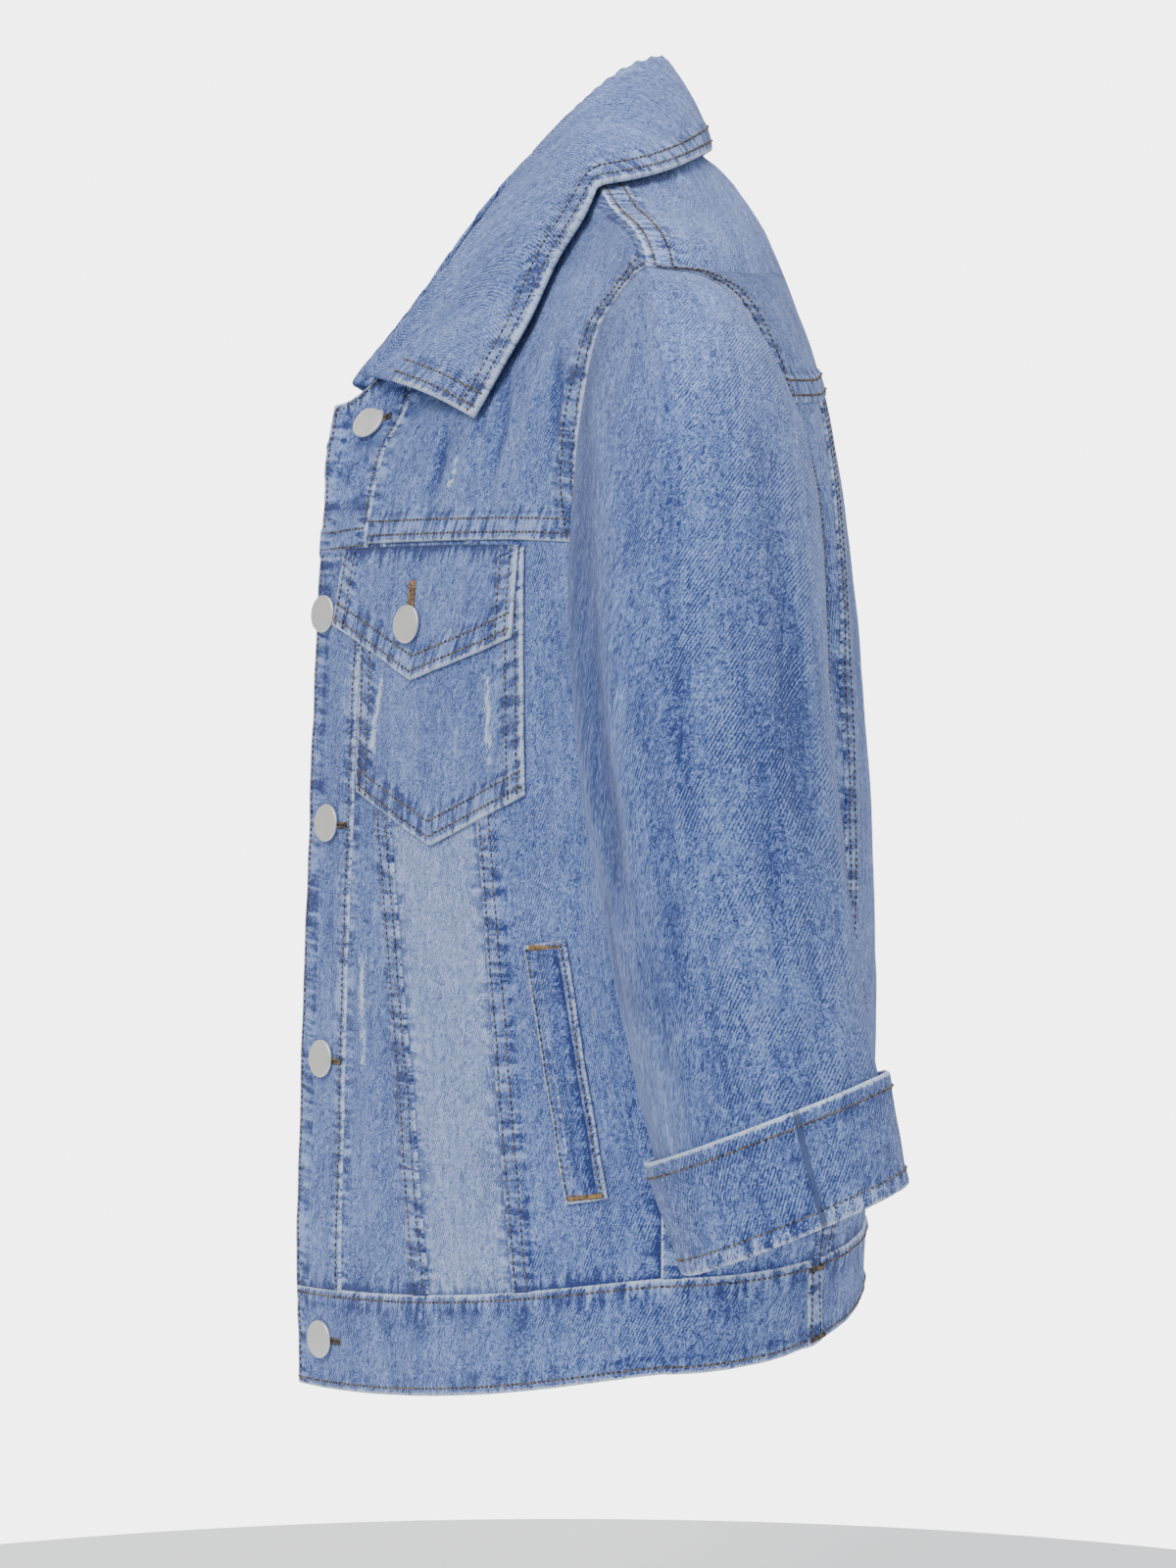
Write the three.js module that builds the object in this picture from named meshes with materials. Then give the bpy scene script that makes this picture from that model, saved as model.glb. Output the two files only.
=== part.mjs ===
// Denim jacket, filled out as if worn: a wall of cloth for every cut piece, with open neck, hem and cuffs.
// Millimetres. +Z is up, -Y is the front, +X is the wearer's left. The origin lies between the two
// points where the collar meets the shoulder seams.
import * as THREE from "three";

// Driving dimensions
const CLOTH = 1.4; // thickness of one layer of denim
const DOUBLE = 2.2; // two layers sewn together
const SEAM_GAP = 0.4; // clearance between two pieces along a seam
const LAY = 0.35; // clearance between a panel and what lies on it
const PLACKET_WIDTH = 38; // button strip, from the front edge to its seam
const PLACKET_RISE = 0.8; // its height above the single cloth
const BAND_RISE = 0.7;
const FRONT_EDGE = 0.8; // the left front's edge, beside the ridge of the body
const UNDERLAP = 27; // how far the right front reaches under the left one
const LAP_STEP = { start: -4.8, end: -0.6, depth: 2.1 }; // where the right front steps down under the left
const BUTTON_RADIUS = 8.5;
const BUTTON_HEIGHT = 2.5;
const BUTTON_SEAT = 0.5; // clearance under a button
const ARMHOLE_STEPS = 32; // corners round each armhole
const CUFF_FLARE = 2; // how far the turned-up edge stands off
const BACK_SQUARE = 1.14; // 1 is a round back, more is squarer

// Level rings of the body from the hem up. Columns: height of the ring at the front edge, the side and the
// back; depth (y) at the same three places; half width; how straight the front runs to its edge (1 is
// straight, 0 is round); how square the corners are.
const COLUMNS = ["frontZ", "sideZ", "backZ", "frontY", "sideY", "backY", "half", "ridge", "full"];
const RINGS = [
  [-555, -528, -496, -118, 20, 132, 203, 0.72, 0.14],
  [-511, -489, -471, -119, 20, 133, 205, 0.72, 0.14],
  [-430, -415, -400, -117, 19, 139, 206, 0.72, 0.14],
  [-335, -333, -305, -114, 18, 137, 208, 0.72, 0.14],
  [-250, -257, -205, -111, 17, 130, 211, 0.74, 0.12],
  [-176, -165, -108, -108, 14, 117, 217, 0.84, 0.04],
  [-142, -72, -50, -106, 9, 96, 225, 0.97, -0.14],
  [-124, -35, -10, -104, 3, 80, 150, 0.97, -0.16],
  [-111, 0, 12, -102, -2, 57, 80, 0.6, -0.05],
].map((row) => Object.fromEntries(row.map((value, k) => [COLUMNS[k], value])));
const HEM = 0;
const BAND_TOP = 1;
const NECK = 8;

// Places on the body are given as (s, row): s is 0 at the front edge, 1 at the left side, 2 at the middle of
// the back and 4 back at the front edge; row counts the rings.
const ARMHOLE = [
  { s: 1.0, row: 6.02 },
  { s: 0.81, row: 6.05 },
  { s: 0.68, row: 5.95 },
  { s: 0.62, row: 5.6 },
  { s: 0.61, row: 5.2 },
  { s: 0.645, row: 4.834 },
  { s: 0.69, row: 4.4 },
  { s: 0.8, row: 4.08 },
  { s: 1.0, row: 3.97 },
  { s: 1.2, row: 4.1 },
  { s: 1.34, row: 4.45 },
  { s: 1.385, row: 4.9 },
  { s: 1.365, row: 5.31 },
  { s: 1.32, row: 5.6 },
  { s: 1.24, row: 5.85 },
  { s: 1.13, row: 5.98 },
];
const SHOULDER_POINT = 0;
const FRONT_YOKE_POINT = 5;
const UNDERARM_POINT = 8;
const BACK_YOKE_POINT = 12;

// Seams that run up the body
const FRONT_SEAM = [
  { s: 0.3, row: 1 },
  { s: 0.256, row: 2.2 },
  { s: 0.194, row: 3.35 },
  { s: 0.15, row: 4.99 },
];
const POCKET_SEAM = [
  { s: 0.49, row: 1 },
  { s: 0.438, row: 2.4 },
  { s: 0.396, row: 3.36 },
  { s: 0.34, row: 4.93 },
];
const SIDE_SEAM = [{ s: 0.958, row: 1 }, { s: 0.98, row: 2.4 }, { s: 1.0, row: 3.97 }];
const BACK_SEAM = [{ s: 1.36, row: 1 }, { s: 1.44, row: 2.6 }, { s: 1.5, row: 4.0 }, { s: 1.6, row: 5.16 }];
const BAND_SEAM = { front: 1.34, back: 1.385 };

// Elbow-length sleeve: centre, half sizes and slope of each ring below the armhole
const SLEEVE = [
  { x: 268, y: 29, z: -300, halfX: 55, halfY: 50.5, slope: 0.1 },
  { x: 270, y: 38, z: -358, halfX: 54.5, halfY: 48, slope: 0.24 },
  { x: 273, y: 49, z: -417, halfX: 54, halfY: 44.5, slope: 0.39 },
  { x: 277, y: 60, z: -461, halfX: 54.5, halfY: 43, slope: 0.41 },
];
const ARMHOLE_CENTRE = new THREE.Vector3(205, 25, -165);
const SLEEVE_TIP = 0.1; // the outer side of every ring is this much higher, for each millimetre across
const CUFF_TOP = 2;
const CUFF_BOTTOM = 3;

// Long soft folds of the sleeve: turn round the sleeve from the shoulder towards the front (0 to 16), half
// width, depth, and where the fold starts and ends (0 is the armhole, 1 to 4 are the rings)
const SLEEVE_FOLDS = [
  { turn: 3.2, width: 0.75, depth: 3.4, from: 0.1, to: 1.9 },
  { turn: 1.7, width: 0.6, depth: 1.8, from: 0.25, to: 2.6 },
  { turn: 14.4, width: 0.8, depth: 2.6, from: 0.1, to: 1.6 },
  { turn: 12.6, width: 0.7, depth: 2.2, from: 0.6, to: 2.9 },
  { turn: 9.6, width: 0.8, depth: 3.0, from: 0.5, to: 1.7 },
];

// Soft folds of the body: place, half widths in s and rows, depth
const BODY_FOLDS = [
  { s: 1.47, row: 4.3, wide: 0.045, tall: 0.9, depth: 3 },
  { s: 1.72, row: 2.6, wide: 0.06, tall: 1.3, depth: 2.4 },
  { s: 2.22, row: 2.2, wide: 0.07, tall: 1.2, depth: 2.8 },
  { s: 0.72, row: 3.7, wide: 0.05, tall: 0.7, depth: 2 },
  { s: 3.24, row: 3.5, wide: 0.05, tall: 0.8, depth: 2.4 },
  { s: 2.55, row: 4.2, wide: 0.045, tall: 0.8, depth: 3 },
];

// Collar from its left front end round the neck: where its stand starts on the neck ring (s), its fold line
// (x, y, z) and where its outer edge lies on the body (edgeS, edgeRow)
const COLLAR = [
  { s: 0.18, x: 21, y: -89.5, z: -98, edgeS: 0.352, edgeRow: 5.89 },
  { s: 0.36, x: 41, y: -58, z: -56, edgeS: 0.47, edgeRow: 6.4 },
  { s: 0.58, x: 60, y: -30, z: -17, edgeS: 0.63, edgeRow: 6.9 },
  { s: 0.85, x: 68, y: -6, z: 11, edgeS: 0.83, edgeRow: 7.05 },
  { s: 1.2, x: 58, y: 20, z: 34, edgeS: 1.16, edgeRow: 7.3 },
  { s: 1.6, x: 32, y: 41, z: 46, edgeS: 1.55, edgeRow: 7.55 },
  { s: 2.0, x: 0, y: 49, z: 50, edgeS: 2.0, edgeRow: 7.62 },
];
const COLLAR_FOLD_RADIUS = 2.6;
const COLLAR_LIFT = 3.8; // middle of the collar's edge above the body
const COLLAR_CROWN = 14; // how far the middle of the fall is pulled out over the body

const DENIM = { color: 0x7d9ccb, roughness: 0.9, metalness: 0 };
const FADED = { color: 0x8fadd6, roughness: 0.9, metalness: 0 };
const METAL = { color: 0xb9b4aa, roughness: 0.35, metalness: 1 };

const jacket = new THREE.Group();

function mix(a, b, t) {
  return a + (b - a) * t;
}

function bump(distance) {
  return Math.abs(distance) < 1 ? (1 + Math.cos(Math.PI * distance)) / 2 : 0;
}

// Smooth curve through evenly spaced values, going on straight past both ends
function through(values, at) {
  const last = values.length - 1;
  const i = Math.max(0, Math.min(last - 1, Math.floor(at)));
  const f = at - i;
  const before = i > 0 ? values[i - 1] : 2 * values[0] - values[1];
  const after = i + 2 <= last ? values[i + 2] : 2 * values[last] - values[last - 1];
  const [a, b] = [values[i], values[i + 1]];
  const bend = 2 * before - 5 * a + 4 * b - after;
  return a + 0.5 * f * (b - before + f * (bend + f * (3 * (a - b) + after - before)));
}

// Body surface
function ringAt(row) {
  return Object.fromEntries(COLUMNS.map((key) => [key, through(RINGS.map((ring) => ring[key]), row)]));
}

function bodySurface(s, row) {
  const ring = ringAt(row);
  const left = ((((s + 2) % 4) + 4) % 4) - 2;
  const turn = (Math.abs(left) * Math.PI) / 2;
  const across = Math.sin(turn);
  const along = Math.cos(turn);
  const fill = (t) => (1 + ring.full) * t - ring.full * t ** 3;
  const rise = 1 - across ** 1.8;
  const toFront = along > 0;
  const frontReach = (1 - ring.ridge) * along + ring.ridge * (1 - across);
  const backReach = -BACK_SQUARE * along + (BACK_SQUARE - 1) * along ** 3;
  const reach = toFront ? frontReach : backReach;
  const end = toFront ? { y: ring.frontY, z: ring.frontZ } : { y: ring.backY, z: ring.backZ };
  const side = left < 0 ? -1 : 1;
  return new THREE.Vector3(
    side * ring.half * fill(across),
    ring.sideY + (end.y - ring.sideY) * reach,
    ring.sideZ + (end.z - ring.sideZ) * rise,
  );
}

function bodyNormal(s, row) {
  const step = 0.01;
  const round = bodySurface(s + step, row).sub(bodySurface(s - step, row));
  const up = bodySurface(s, row + step).sub(bodySurface(s, row - step));
  return round.cross(up).normalize();
}

// A point of the body moved out along its normal, with the folds
function bodyPoint(s, row, out) {
  let lift = out;
  const turned = ((s % 4) + 4) % 4;
  for (const fold of BODY_FOLDS) {
    lift -= fold.depth * bump((turned - fold.s) / fold.wide) * bump((row - fold.row) / fold.tall);
  }
  return bodySurface(s, row).addScaledVector(bodyNormal(s, row), lift);
}

// s of a place on the front that lies a given distance to the left of the front edge
function acrossFront(distance, row) {
  const ring = ringAt(row);
  return (Math.asin(distance / (ring.half * (1 + ring.full))) * 2) / Math.PI;
}

// Closed wall between two grids of points, the outer one and the inner one
function wall(outer, inner, closed) {
  const columns = outer.length;
  const rows = outer[0].length;
  const positions = [];
  const index = [];
  for (const grid of [outer, inner]) {
    for (const column of grid) {
      for (const point of column) positions.push(point.x, point.y, point.z);
    }
  }
  const at = (layer, i, j) => (layer * columns + (i % columns)) * rows + j;
  const quad = (a, b, c, d) => index.push(a, b, c, a, c, d);
  const spans = closed ? columns : columns - 1;
  for (let i = 0; i < spans; i += 1) {
    for (let j = 0; j < rows - 1; j += 1) {
      quad(at(0, i, j), at(0, i + 1, j), at(0, i + 1, j + 1), at(0, i, j + 1));
      quad(at(1, i, j), at(1, i, j + 1), at(1, i + 1, j + 1), at(1, i + 1, j));
    }
    quad(at(1, i, 0), at(1, i + 1, 0), at(0, i + 1, 0), at(0, i, 0));
    quad(at(0, i, rows - 1), at(0, i + 1, rows - 1), at(1, i + 1, rows - 1), at(1, i, rows - 1));
  }
  if (!closed) {
    for (let j = 0; j < rows - 1; j += 1) {
      quad(at(0, 0, j), at(0, 0, j + 1), at(1, 0, j + 1), at(1, 0, j));
      const end = columns - 1;
      quad(at(1, end, j), at(1, end, j + 1), at(0, end, j + 1), at(0, end, j));
    }
  }
  const geometry = new THREE.BufferGeometry();
  geometry.setAttribute("position", new THREE.Float32BufferAttribute(positions, 3));
  geometry.setIndex(index);
  return geometry;
}

// Pull the border points of a grid in, so that a seam stays open by its gap
function trimmed(grid, gap, closed) {
  const result = grid.map((column) => column.map((point) => point.clone()));
  const pull = (i, j, ni, nj) => {
    const inward = grid[ni][nj].clone().sub(grid[i][j]).normalize();
    result[i][j].addScaledVector(inward, gap / 2);
  };
  const lastColumn = grid.length - 1;
  const lastRow = grid[0].length - 1;
  for (let i = 0; i <= lastColumn; i += 1) {
    pull(i, 0, i, 1);
    pull(i, lastRow, i, lastRow - 1);
  }
  if (!closed) {
    for (let j = 0; j <= lastRow; j += 1) {
      pull(0, j, 1, j);
      pull(lastColumn, j, lastColumn - 1, j);
    }
  }
  return result;
}

function add(name, geometry, finish) {
  const mesh = new THREE.Mesh(geometry, new THREE.MeshStandardMaterial(finish));
  mesh.name = name;
  jacket.add(mesh);
  return mesh;
}

// Places along a seam given by a few stops: count steps, evenly spaced in row
function seam(stops, from, to, count) {
  return Array.from({ length: count + 1 }, (_, k) => {
    const row = mix(from, to, k / count);
    let i = 0;
    while (i < stops.length - 2 && row > stops[i + 1].row) i += 1;
    const [a, b] = [stops[i], stops[i + 1]];
    return { s: mix(a.s, b.s, (row - a.row) / (b.row - a.row)), row };
  });
}

function straight(a, b, count) {
  return Array.from({ length: count + 1 }, (_, k) => ({
    s: mix(a.s, b.s, k / count),
    row: mix(a.row, b.row, k / count),
  }));
}

// One of the even stations round the armhole, counted in its stops
function armholeAt(turn) {
  const size = ARMHOLE.length;
  const stops = [-1, 0, 1, 2].map((k) => ARMHOLE[(Math.floor(turn) + k + 2 * size) % size]);
  const f = turn - Math.floor(turn);
  return {
    s: through(stops.map((stop) => stop.s), 1 + f),
    row: through(stops.map((stop) => stop.row), 1 + f),
  };
}

function armhole(from, to) {
  const step = ARMHOLE.length / ARMHOLE_STEPS;
  const count = Math.round(Math.abs(to - from) / step);
  return Array.from({ length: count + 1 }, (_, k) => armholeAt(mix(from, to, k / count)));
}

function joined(...runs) {
  return runs.reduce((all, run) => all.concat(run.slice(1)));
}

// Front yoke seam, which falls slightly towards the armhole, and back yoke seam
function frontYokeRow(s) {
  return 5.04 - 0.32 * s;
}

function frontYokeSeam(from, to, count) {
  return straight({ s: from, row: frontYokeRow(from) }, { s: to, row: frontYokeRow(to) }, count);
}

const YOKE_LAP = { row: 4.9, rows: 0.3, height: 0.9 }; // the yoke's lower edge stands off the panels
const BACK_YOKE = [ARMHOLE[BACK_YOKE_POINT], BACK_SEAM.at(-1), { s: 2, row: 5.0 }];

function mirrored(run) {
  return run.map(({ s, row }) => ({ s: 4 - s, row }));
}

// Patch of the body inside four border runs: left and right run up, bottom and top run to the right
function patch(left, right, bottom, top) {
  const columns = bottom.length - 1;
  const rows = left.length - 1;
  const blend = (key, i, j) => {
    const [u, v] = [i / columns, j / rows];
    const sides = mix(left[j][key], right[j][key], u);
    const ends = mix(bottom[i][key], top[i][key], v);
    const low = mix(bottom[0][key], bottom[columns][key], u);
    const high = mix(top[0][key], top[columns][key], u);
    return sides + ends - mix(low, high, v);
  };
  return Array.from({ length: columns + 1 }, (_, i) =>
    Array.from({ length: rows + 1 }, (__, j) => ({ s: blend("s", i, j), row: blend("row", i, j) })),
  );
}

// Patch between two runs that go up, with straight ends
function between(left, right, columns) {
  const bottom = straight(left[0], right[0], columns);
  return patch(left, right, bottom, straight(left.at(-1), right.at(-1), columns));
}

// Wall over a patch, from a height above the body down by its thickness
function panel(name, places, finish, { out = 0, thick = CLOTH, gap = SEAM_GAP } = {}) {
  const height = typeof out === "function" ? out : () => out;
  const outer = places.map((column) => column.map(({ s, row }) => bodyPoint(s, row, height(s, row))));
  const inner = places.map((column) => column.map(({ s, row }) => bodyPoint(s, row, height(s, row) - thick)));
  return add(name, wall(trimmed(outer, gap, false), trimmed(inner, gap, false), false), finish);
}

// The same panel on both sides; the mirrored one has its columns in the opposite order
function pair(name, places, finish, options) {
  panel(`${name}_left`, places, finish, options);
  const flipped = places.map(mirrored).reverse();
  panel(`${name}_right`, flipped, finish, options);
}

function placketSeam(from, to, count) {
  return Array.from({ length: count + 1 }, (_, k) => {
    const row = mix(from, to, k / count);
    return { s: acrossFront(PLACKET_WIDTH, row), row };
  });
}

function levelRun(stations, row) {
  return stations.map((s) => ({ s, row }));
}

function evenly(from, to, count) {
  return Array.from({ length: count + 1 }, (_, k) => mix(from, to, k / count));
}

// Front panels, between the waistband and the yoke
function frontPanels() {
  const yokeAtPlacket = frontYokeRow(acrossFront(PLACKET_WIDTH, 5));
  const rows = 10;
  const placket = placketSeam(BAND_TOP, yokeAtPlacket, rows);
  const front = seam(FRONT_SEAM, BAND_TOP, frontYokeRow(FRONT_SEAM.at(-1).s), rows);
  const pocket = seam(POCKET_SEAM, BAND_TOP, frontYokeRow(POCKET_SEAM.at(-1).s), rows);
  pair("front_panel", between(placket, front, 3), DENIM);
  pair("middle_panel", between(front, pocket, 4), FADED);

  const corner = ARMHOLE[FRONT_YOKE_POINT];
  const top = joined(straight(pocket.at(-1), corner, 4), armhole(FRONT_YOKE_POINT, UNDERARM_POINT));
  const side = seam(SIDE_SEAM, BAND_TOP, SIDE_SEAM.at(-1).row, rows);
  pair("side_panel", patch(pocket, side, straight(pocket[0], side[0], top.length - 1), top), DENIM);
}

// Back panels and yokes
function backPanels() {
  const rows = 10;
  const side = seam(SIDE_SEAM, BAND_TOP, SIDE_SEAM.at(-1).row, rows);
  const back = seam(BACK_SEAM, BAND_TOP, BACK_SEAM.at(-1).row, rows);
  const corner = ARMHOLE[BACK_YOKE_POINT];
  const top = joined(armhole(UNDERARM_POINT, BACK_YOKE_POINT), straight(corner, back.at(-1), 2));
  pair("back_side", patch(side, back, straight(side[0], back[0], top.length - 1), top), DENIM);

  const [yokeEnd, yokeSeamEnd, yokeMiddle] = BACK_YOKE;
  const [farEnd, farSeamEnd] = mirrored(BACK_YOKE);
  const seamTop = joined(straight(yokeSeamEnd, yokeMiddle, 4), straight(yokeMiddle, farSeamEnd, 4));
  const hemStations = evenly(back[0].s, 4 - back[0].s, 8);
  panel("back_centre", patch(back, mirrored(back), levelRun(hemStations, BAND_TOP), seamTop), DENIM);

  const shoulder = (s) => straight({ s, row: ARMHOLE[SHOULDER_POINT].row }, { s, row: NECK }, 3);
  const leftEdge = joined(armhole(BACK_YOKE_POINT, ARMHOLE.length), shoulder(1));
  const yokeSeam = joined(straight(yokeEnd, yokeSeamEnd, 2), seamTop, straight(farSeamEnd, farEnd, 2));
  const neckRun = levelRun(evenly(1, 3, yokeSeam.length - 1), NECK);
  panel("yoke_back", patch(leftEdge, mirrored(leftEdge), yokeSeam, neckRun), DENIM);

  const armholeEdge = joined(armhole(FRONT_YOKE_POINT, SHOULDER_POINT), shoulder(1));
  const placket = placketSeam(frontYokeRow(0.1), NECK, armholeEdge.length - 1);
  const lower = frontYokeSeam(placket[0].s, ARMHOLE[FRONT_YOKE_POINT].s, 8);
  const neck = levelRun(evenly(placket.at(-1).s, 1, 8), NECK);
  const raisedSeam = (s, row) => YOKE_LAP.height * bump((row - YOKE_LAP.row) / YOKE_LAP.rows);
  pair("yoke_front", patch(placket, armholeEdge, lower, neck), DENIM, { out: raisedSeam });
}

// Button strips: the left one laps over a tongue of the right one
function lapHeight(above) {
  return (s, row) => {
    const ring = ringAt(row);
    const x = ring.half * (1 + ring.full) * Math.sin(((s > 2 ? s - 4 : s) * Math.PI) / 2);
    const under = Math.min(1, Math.max(0, (x - LAP_STEP.start) / (LAP_STEP.end - LAP_STEP.start)));
    return mix(above, -LAP_STEP.depth, under);
  };
}

function lapRun(row, far) {
  const reach = [far, far / 2, LAP_STEP.start, LAP_STEP.end, UNDERLAP / 2, UNDERLAP];
  return reach.map((x) => ({ s: 4 + acrossFront(x, row), row }));
}

function plackets() {
  const rows = 20;
  const runs = Array.from({ length: rows + 1 }, (_, k) => mix(BAND_TOP, NECK, k / rows));
  const across = evenly(FRONT_EDGE, PLACKET_WIDTH, 3);
  const leftPlaces = across.map((x) => runs.map((row) => ({ s: acrossFront(x, row), row })));
  panel("placket_left", leftPlaces, DENIM, { out: PLACKET_RISE, thick: 2.4 });
  const lap = runs.map((row) => lapRun(row, -PLACKET_WIDTH));
  const rightPlaces = lap[0].map((_, i) => lap.map((run) => run[i]));
  panel("placket_right", rightPlaces, DENIM, { out: lapHeight(PLACKET_RISE), thick: DOUBLE });
}

// Waistband, seamed towards the back
function waistband() {
  const rows = evenly(HEM, BAND_TOP, 2);
  const ring = (stations) => stations.map((s) => rows.map((row) => ({ s, row })));
  const shape = { out: BAND_RISE, thick: DOUBLE };
  panel("waistband_left", ring(evenly(acrossFront(FRONT_EDGE, 0.5), BAND_SEAM.front, 16)), DENIM, shape);
  const lapped = rows.map((row) => lapRun(row, -PLACKET_WIDTH));
  const end = lapped[0].map((_, i) => lapped.map((run) => run[i]));
  const rightSide = ring(evenly(4 - BAND_SEAM.front, lapped[1][0].s, 14)).slice(0, -1);
  panel("waistband_right", rightSide.concat(end), DENIM, { out: lapHeight(BAND_RISE), thick: DOUBLE });
  panel("waistband_back", ring(evenly(BAND_SEAM.back, 4 - BAND_SEAM.back, 18)), DENIM, shape);
  const strip = ring(evenly(BAND_SEAM.front, BAND_SEAM.back, 2));
  pair("band_seam", strip, DENIM, { out: BAND_RISE + 0.5, thick: DOUBLE + 0.4 });
}

// Outer faces of what lies on a panel, and of what lies on a pocket
const ON_PANEL = LAY + CLOTH;
const ON_POCKET = 2 * ON_PANEL + 0.1;

// Chest pockets with pointed bottoms, their flaps, and the slanted welts below
const POCKET = {
  left: [{ s: 0.116, row: 3.56 }, { s: 0.114, row: 4.95 }],
  right: [{ s: 0.512, row: 3.58 }, { s: 0.48, row: 4.84 }],
  tip: { s: 0.288, row: 3.29 },
};
const FLAP = {
  left: [{ s: 0.056, row: 4.48 }, { s: 0.075, row: 4.97 }],
  right: [{ s: 0.472, row: 4.39 }, { s: 0.474, row: 4.85 }],
  tip: { s: 0.24, row: 4.17 },
};
const WELT = {
  left: [{ s: 0.628, row: 1.51 }, { s: 0.516, row: 2.79 }],
  right: [{ s: 0.742, row: 1.52 }, { s: 0.62, row: 2.82 }],
};

function pointed(shape, columns, rows) {
  const half = columns / 2;
  const bottom = joined(straight(shape.left[0], shape.tip, half), straight(shape.tip, shape.right[0], half));
  const top = straight(shape.left[1], shape.right[1], columns);
  return patch(straight(...shape.left, rows), straight(...shape.right, rows), bottom, top);
}

function pockets() {
  pair("pocket", pointed(POCKET, 10, 8), DENIM, { out: ON_PANEL, thick: CLOTH, gap: 0 });
  pair("flap", pointed(FLAP, 10, 5), DENIM, { out: ON_POCKET, thick: CLOTH, gap: 0 });
  const welt = between(straight(...WELT.left, 8), straight(...WELT.right, 8), 3);
  pair("welt", welt, DENIM, { out: ON_PANEL, thick: CLOTH, gap: 0 });
}

// Sleeve surface: turn goes round from the shoulder by the front, down is 0 at the armhole and then counts
// the rings. The cap is a smooth curve from the armhole's edge to the first ring.
function sleeveRing(turn, at, out) {
  const keys = Object.keys(SLEEVE[0]);
  const ring = Object.fromEntries(keys.map((key) => [key, through(SLEEVE.map((row) => row[key]), at)]));
  const angle = (-turn / ARMHOLE.length) * 2 * Math.PI;
  const x = (ring.halfX + out) * Math.cos(angle);
  const y = (ring.halfY + out) * Math.sin(angle);
  return new THREE.Vector3(ring.x + x, ring.y + y, ring.z + ring.slope * y + SLEEVE_TIP * x);
}

function sleeveSurface(turn, down) {
  if (down >= 1) return sleeveRing(turn, down - 1, 0);
  const place = armholeAt(turn);
  const start = bodyPoint(place.s, place.row, 0);
  const end = sleeveRing(turn, 0, 0);
  const radial = start.clone().sub(ARMHOLE_CENTRE).setX(0).normalize();
  const outward = new THREE.Vector3(1, 0.22 * radial.y, -0.5 + 0.2 * radial.z).normalize();
  const reach = 1.15 * start.distanceTo(end);
  const downward = sleeveRing(turn, 0.2, 0).sub(end).normalize();
  const v2 = down * down;
  const v3 = v2 * down;
  return start
    .clone()
    .multiplyScalar(2 * v3 - 3 * v2 + 1)
    .addScaledVector(outward, reach * (v3 - 2 * v2 + down))
    .addScaledVector(end, 3 * v2 - 2 * v3)
    .addScaledVector(downward, reach * (v3 - v2));
}

function sleevePoint(turn, down, out) {
  const step = 0.02;
  const round = sleeveSurface(turn - step, down).sub(sleeveSurface(turn + step, down));
  const low = Math.max(down, step);
  const along = sleeveSurface(turn, low - step).sub(sleeveSurface(turn, low + step));
  const normal = round.cross(along).normalize();
  let lift = out;
  for (const fold of SLEEVE_FOLDS) {
    const middle = (fold.from + fold.to) / 2;
    const near = Math.min(1, down * 4);
    const around = bump((turn - fold.turn) / fold.width);
    lift -= near * fold.depth * around * bump((down - middle) / (fold.to - middle));
  }
  return sleeveSurface(turn, down).addScaledVector(normal, lift);
}

function sleeveWall(turns, downs, { out = () => 0, thick = CLOTH, closed = false, gap = SEAM_GAP } = {}) {
  const height = (k) => out(k / (downs.length - 1));
  const column = (turn, drop) => downs.map((down, k) => sleevePoint(turn, down, height(k) - drop));
  const grid = (drop) => turns.map((turn) => column(turn, drop));
  return wall(trimmed(grid(0), gap, closed), trimmed(grid(thick), gap, closed), closed);
}

function reflected(geometry) {
  const copy = geometry.clone();
  copy.scale(-1, 1, 1);
  const index = copy.getIndex().array;
  for (let k = 0; k < index.length; k += 3) [index[k], index[k + 1]] = [index[k + 1], index[k]];
  return copy;
}

function sleeves() {
  const downs = [0.012, 0.1, 0.22, 0.37, 0.54, 0.76, 1, 1.5, 2, 2.5, 3, 3.5, CUFF_BOTTOM + 0.97];
  const step = ARMHOLE.length / ARMHOLE_STEPS;
  const turns = (from, to) => evenly(from, to, Math.round(Math.abs(to - from) / step));
  const backSeam = 11.5;
  const underSeam = 6.5;
  const cuffDowns = [CUFF_TOP + 1, CUFF_TOP + 1.1, CUFF_TOP + 1.5, CUFF_BOTTOM + 1];
  const folded = { out: (k) => LAY + DOUBLE + CUFF_FLARE * (1 - k) ** 2, thick: DOUBLE };
  const shapes = {
    sleeve_upper: sleeveWall(turns(backSeam - ARMHOLE.length, underSeam), downs),
    sleeve_under: sleeveWall(turns(underSeam, backSeam), downs),
    cuff: sleeveWall(turns(0, ARMHOLE.length - step), cuffDowns, { ...folded, closed: true, gap: 0 }),
  };
  for (const [name, geometry] of Object.entries(shapes)) {
    add(`${name}_left`, geometry, DENIM);
    add(`${name}_right`, reflected(geometry), DENIM);
  }
}

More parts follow.
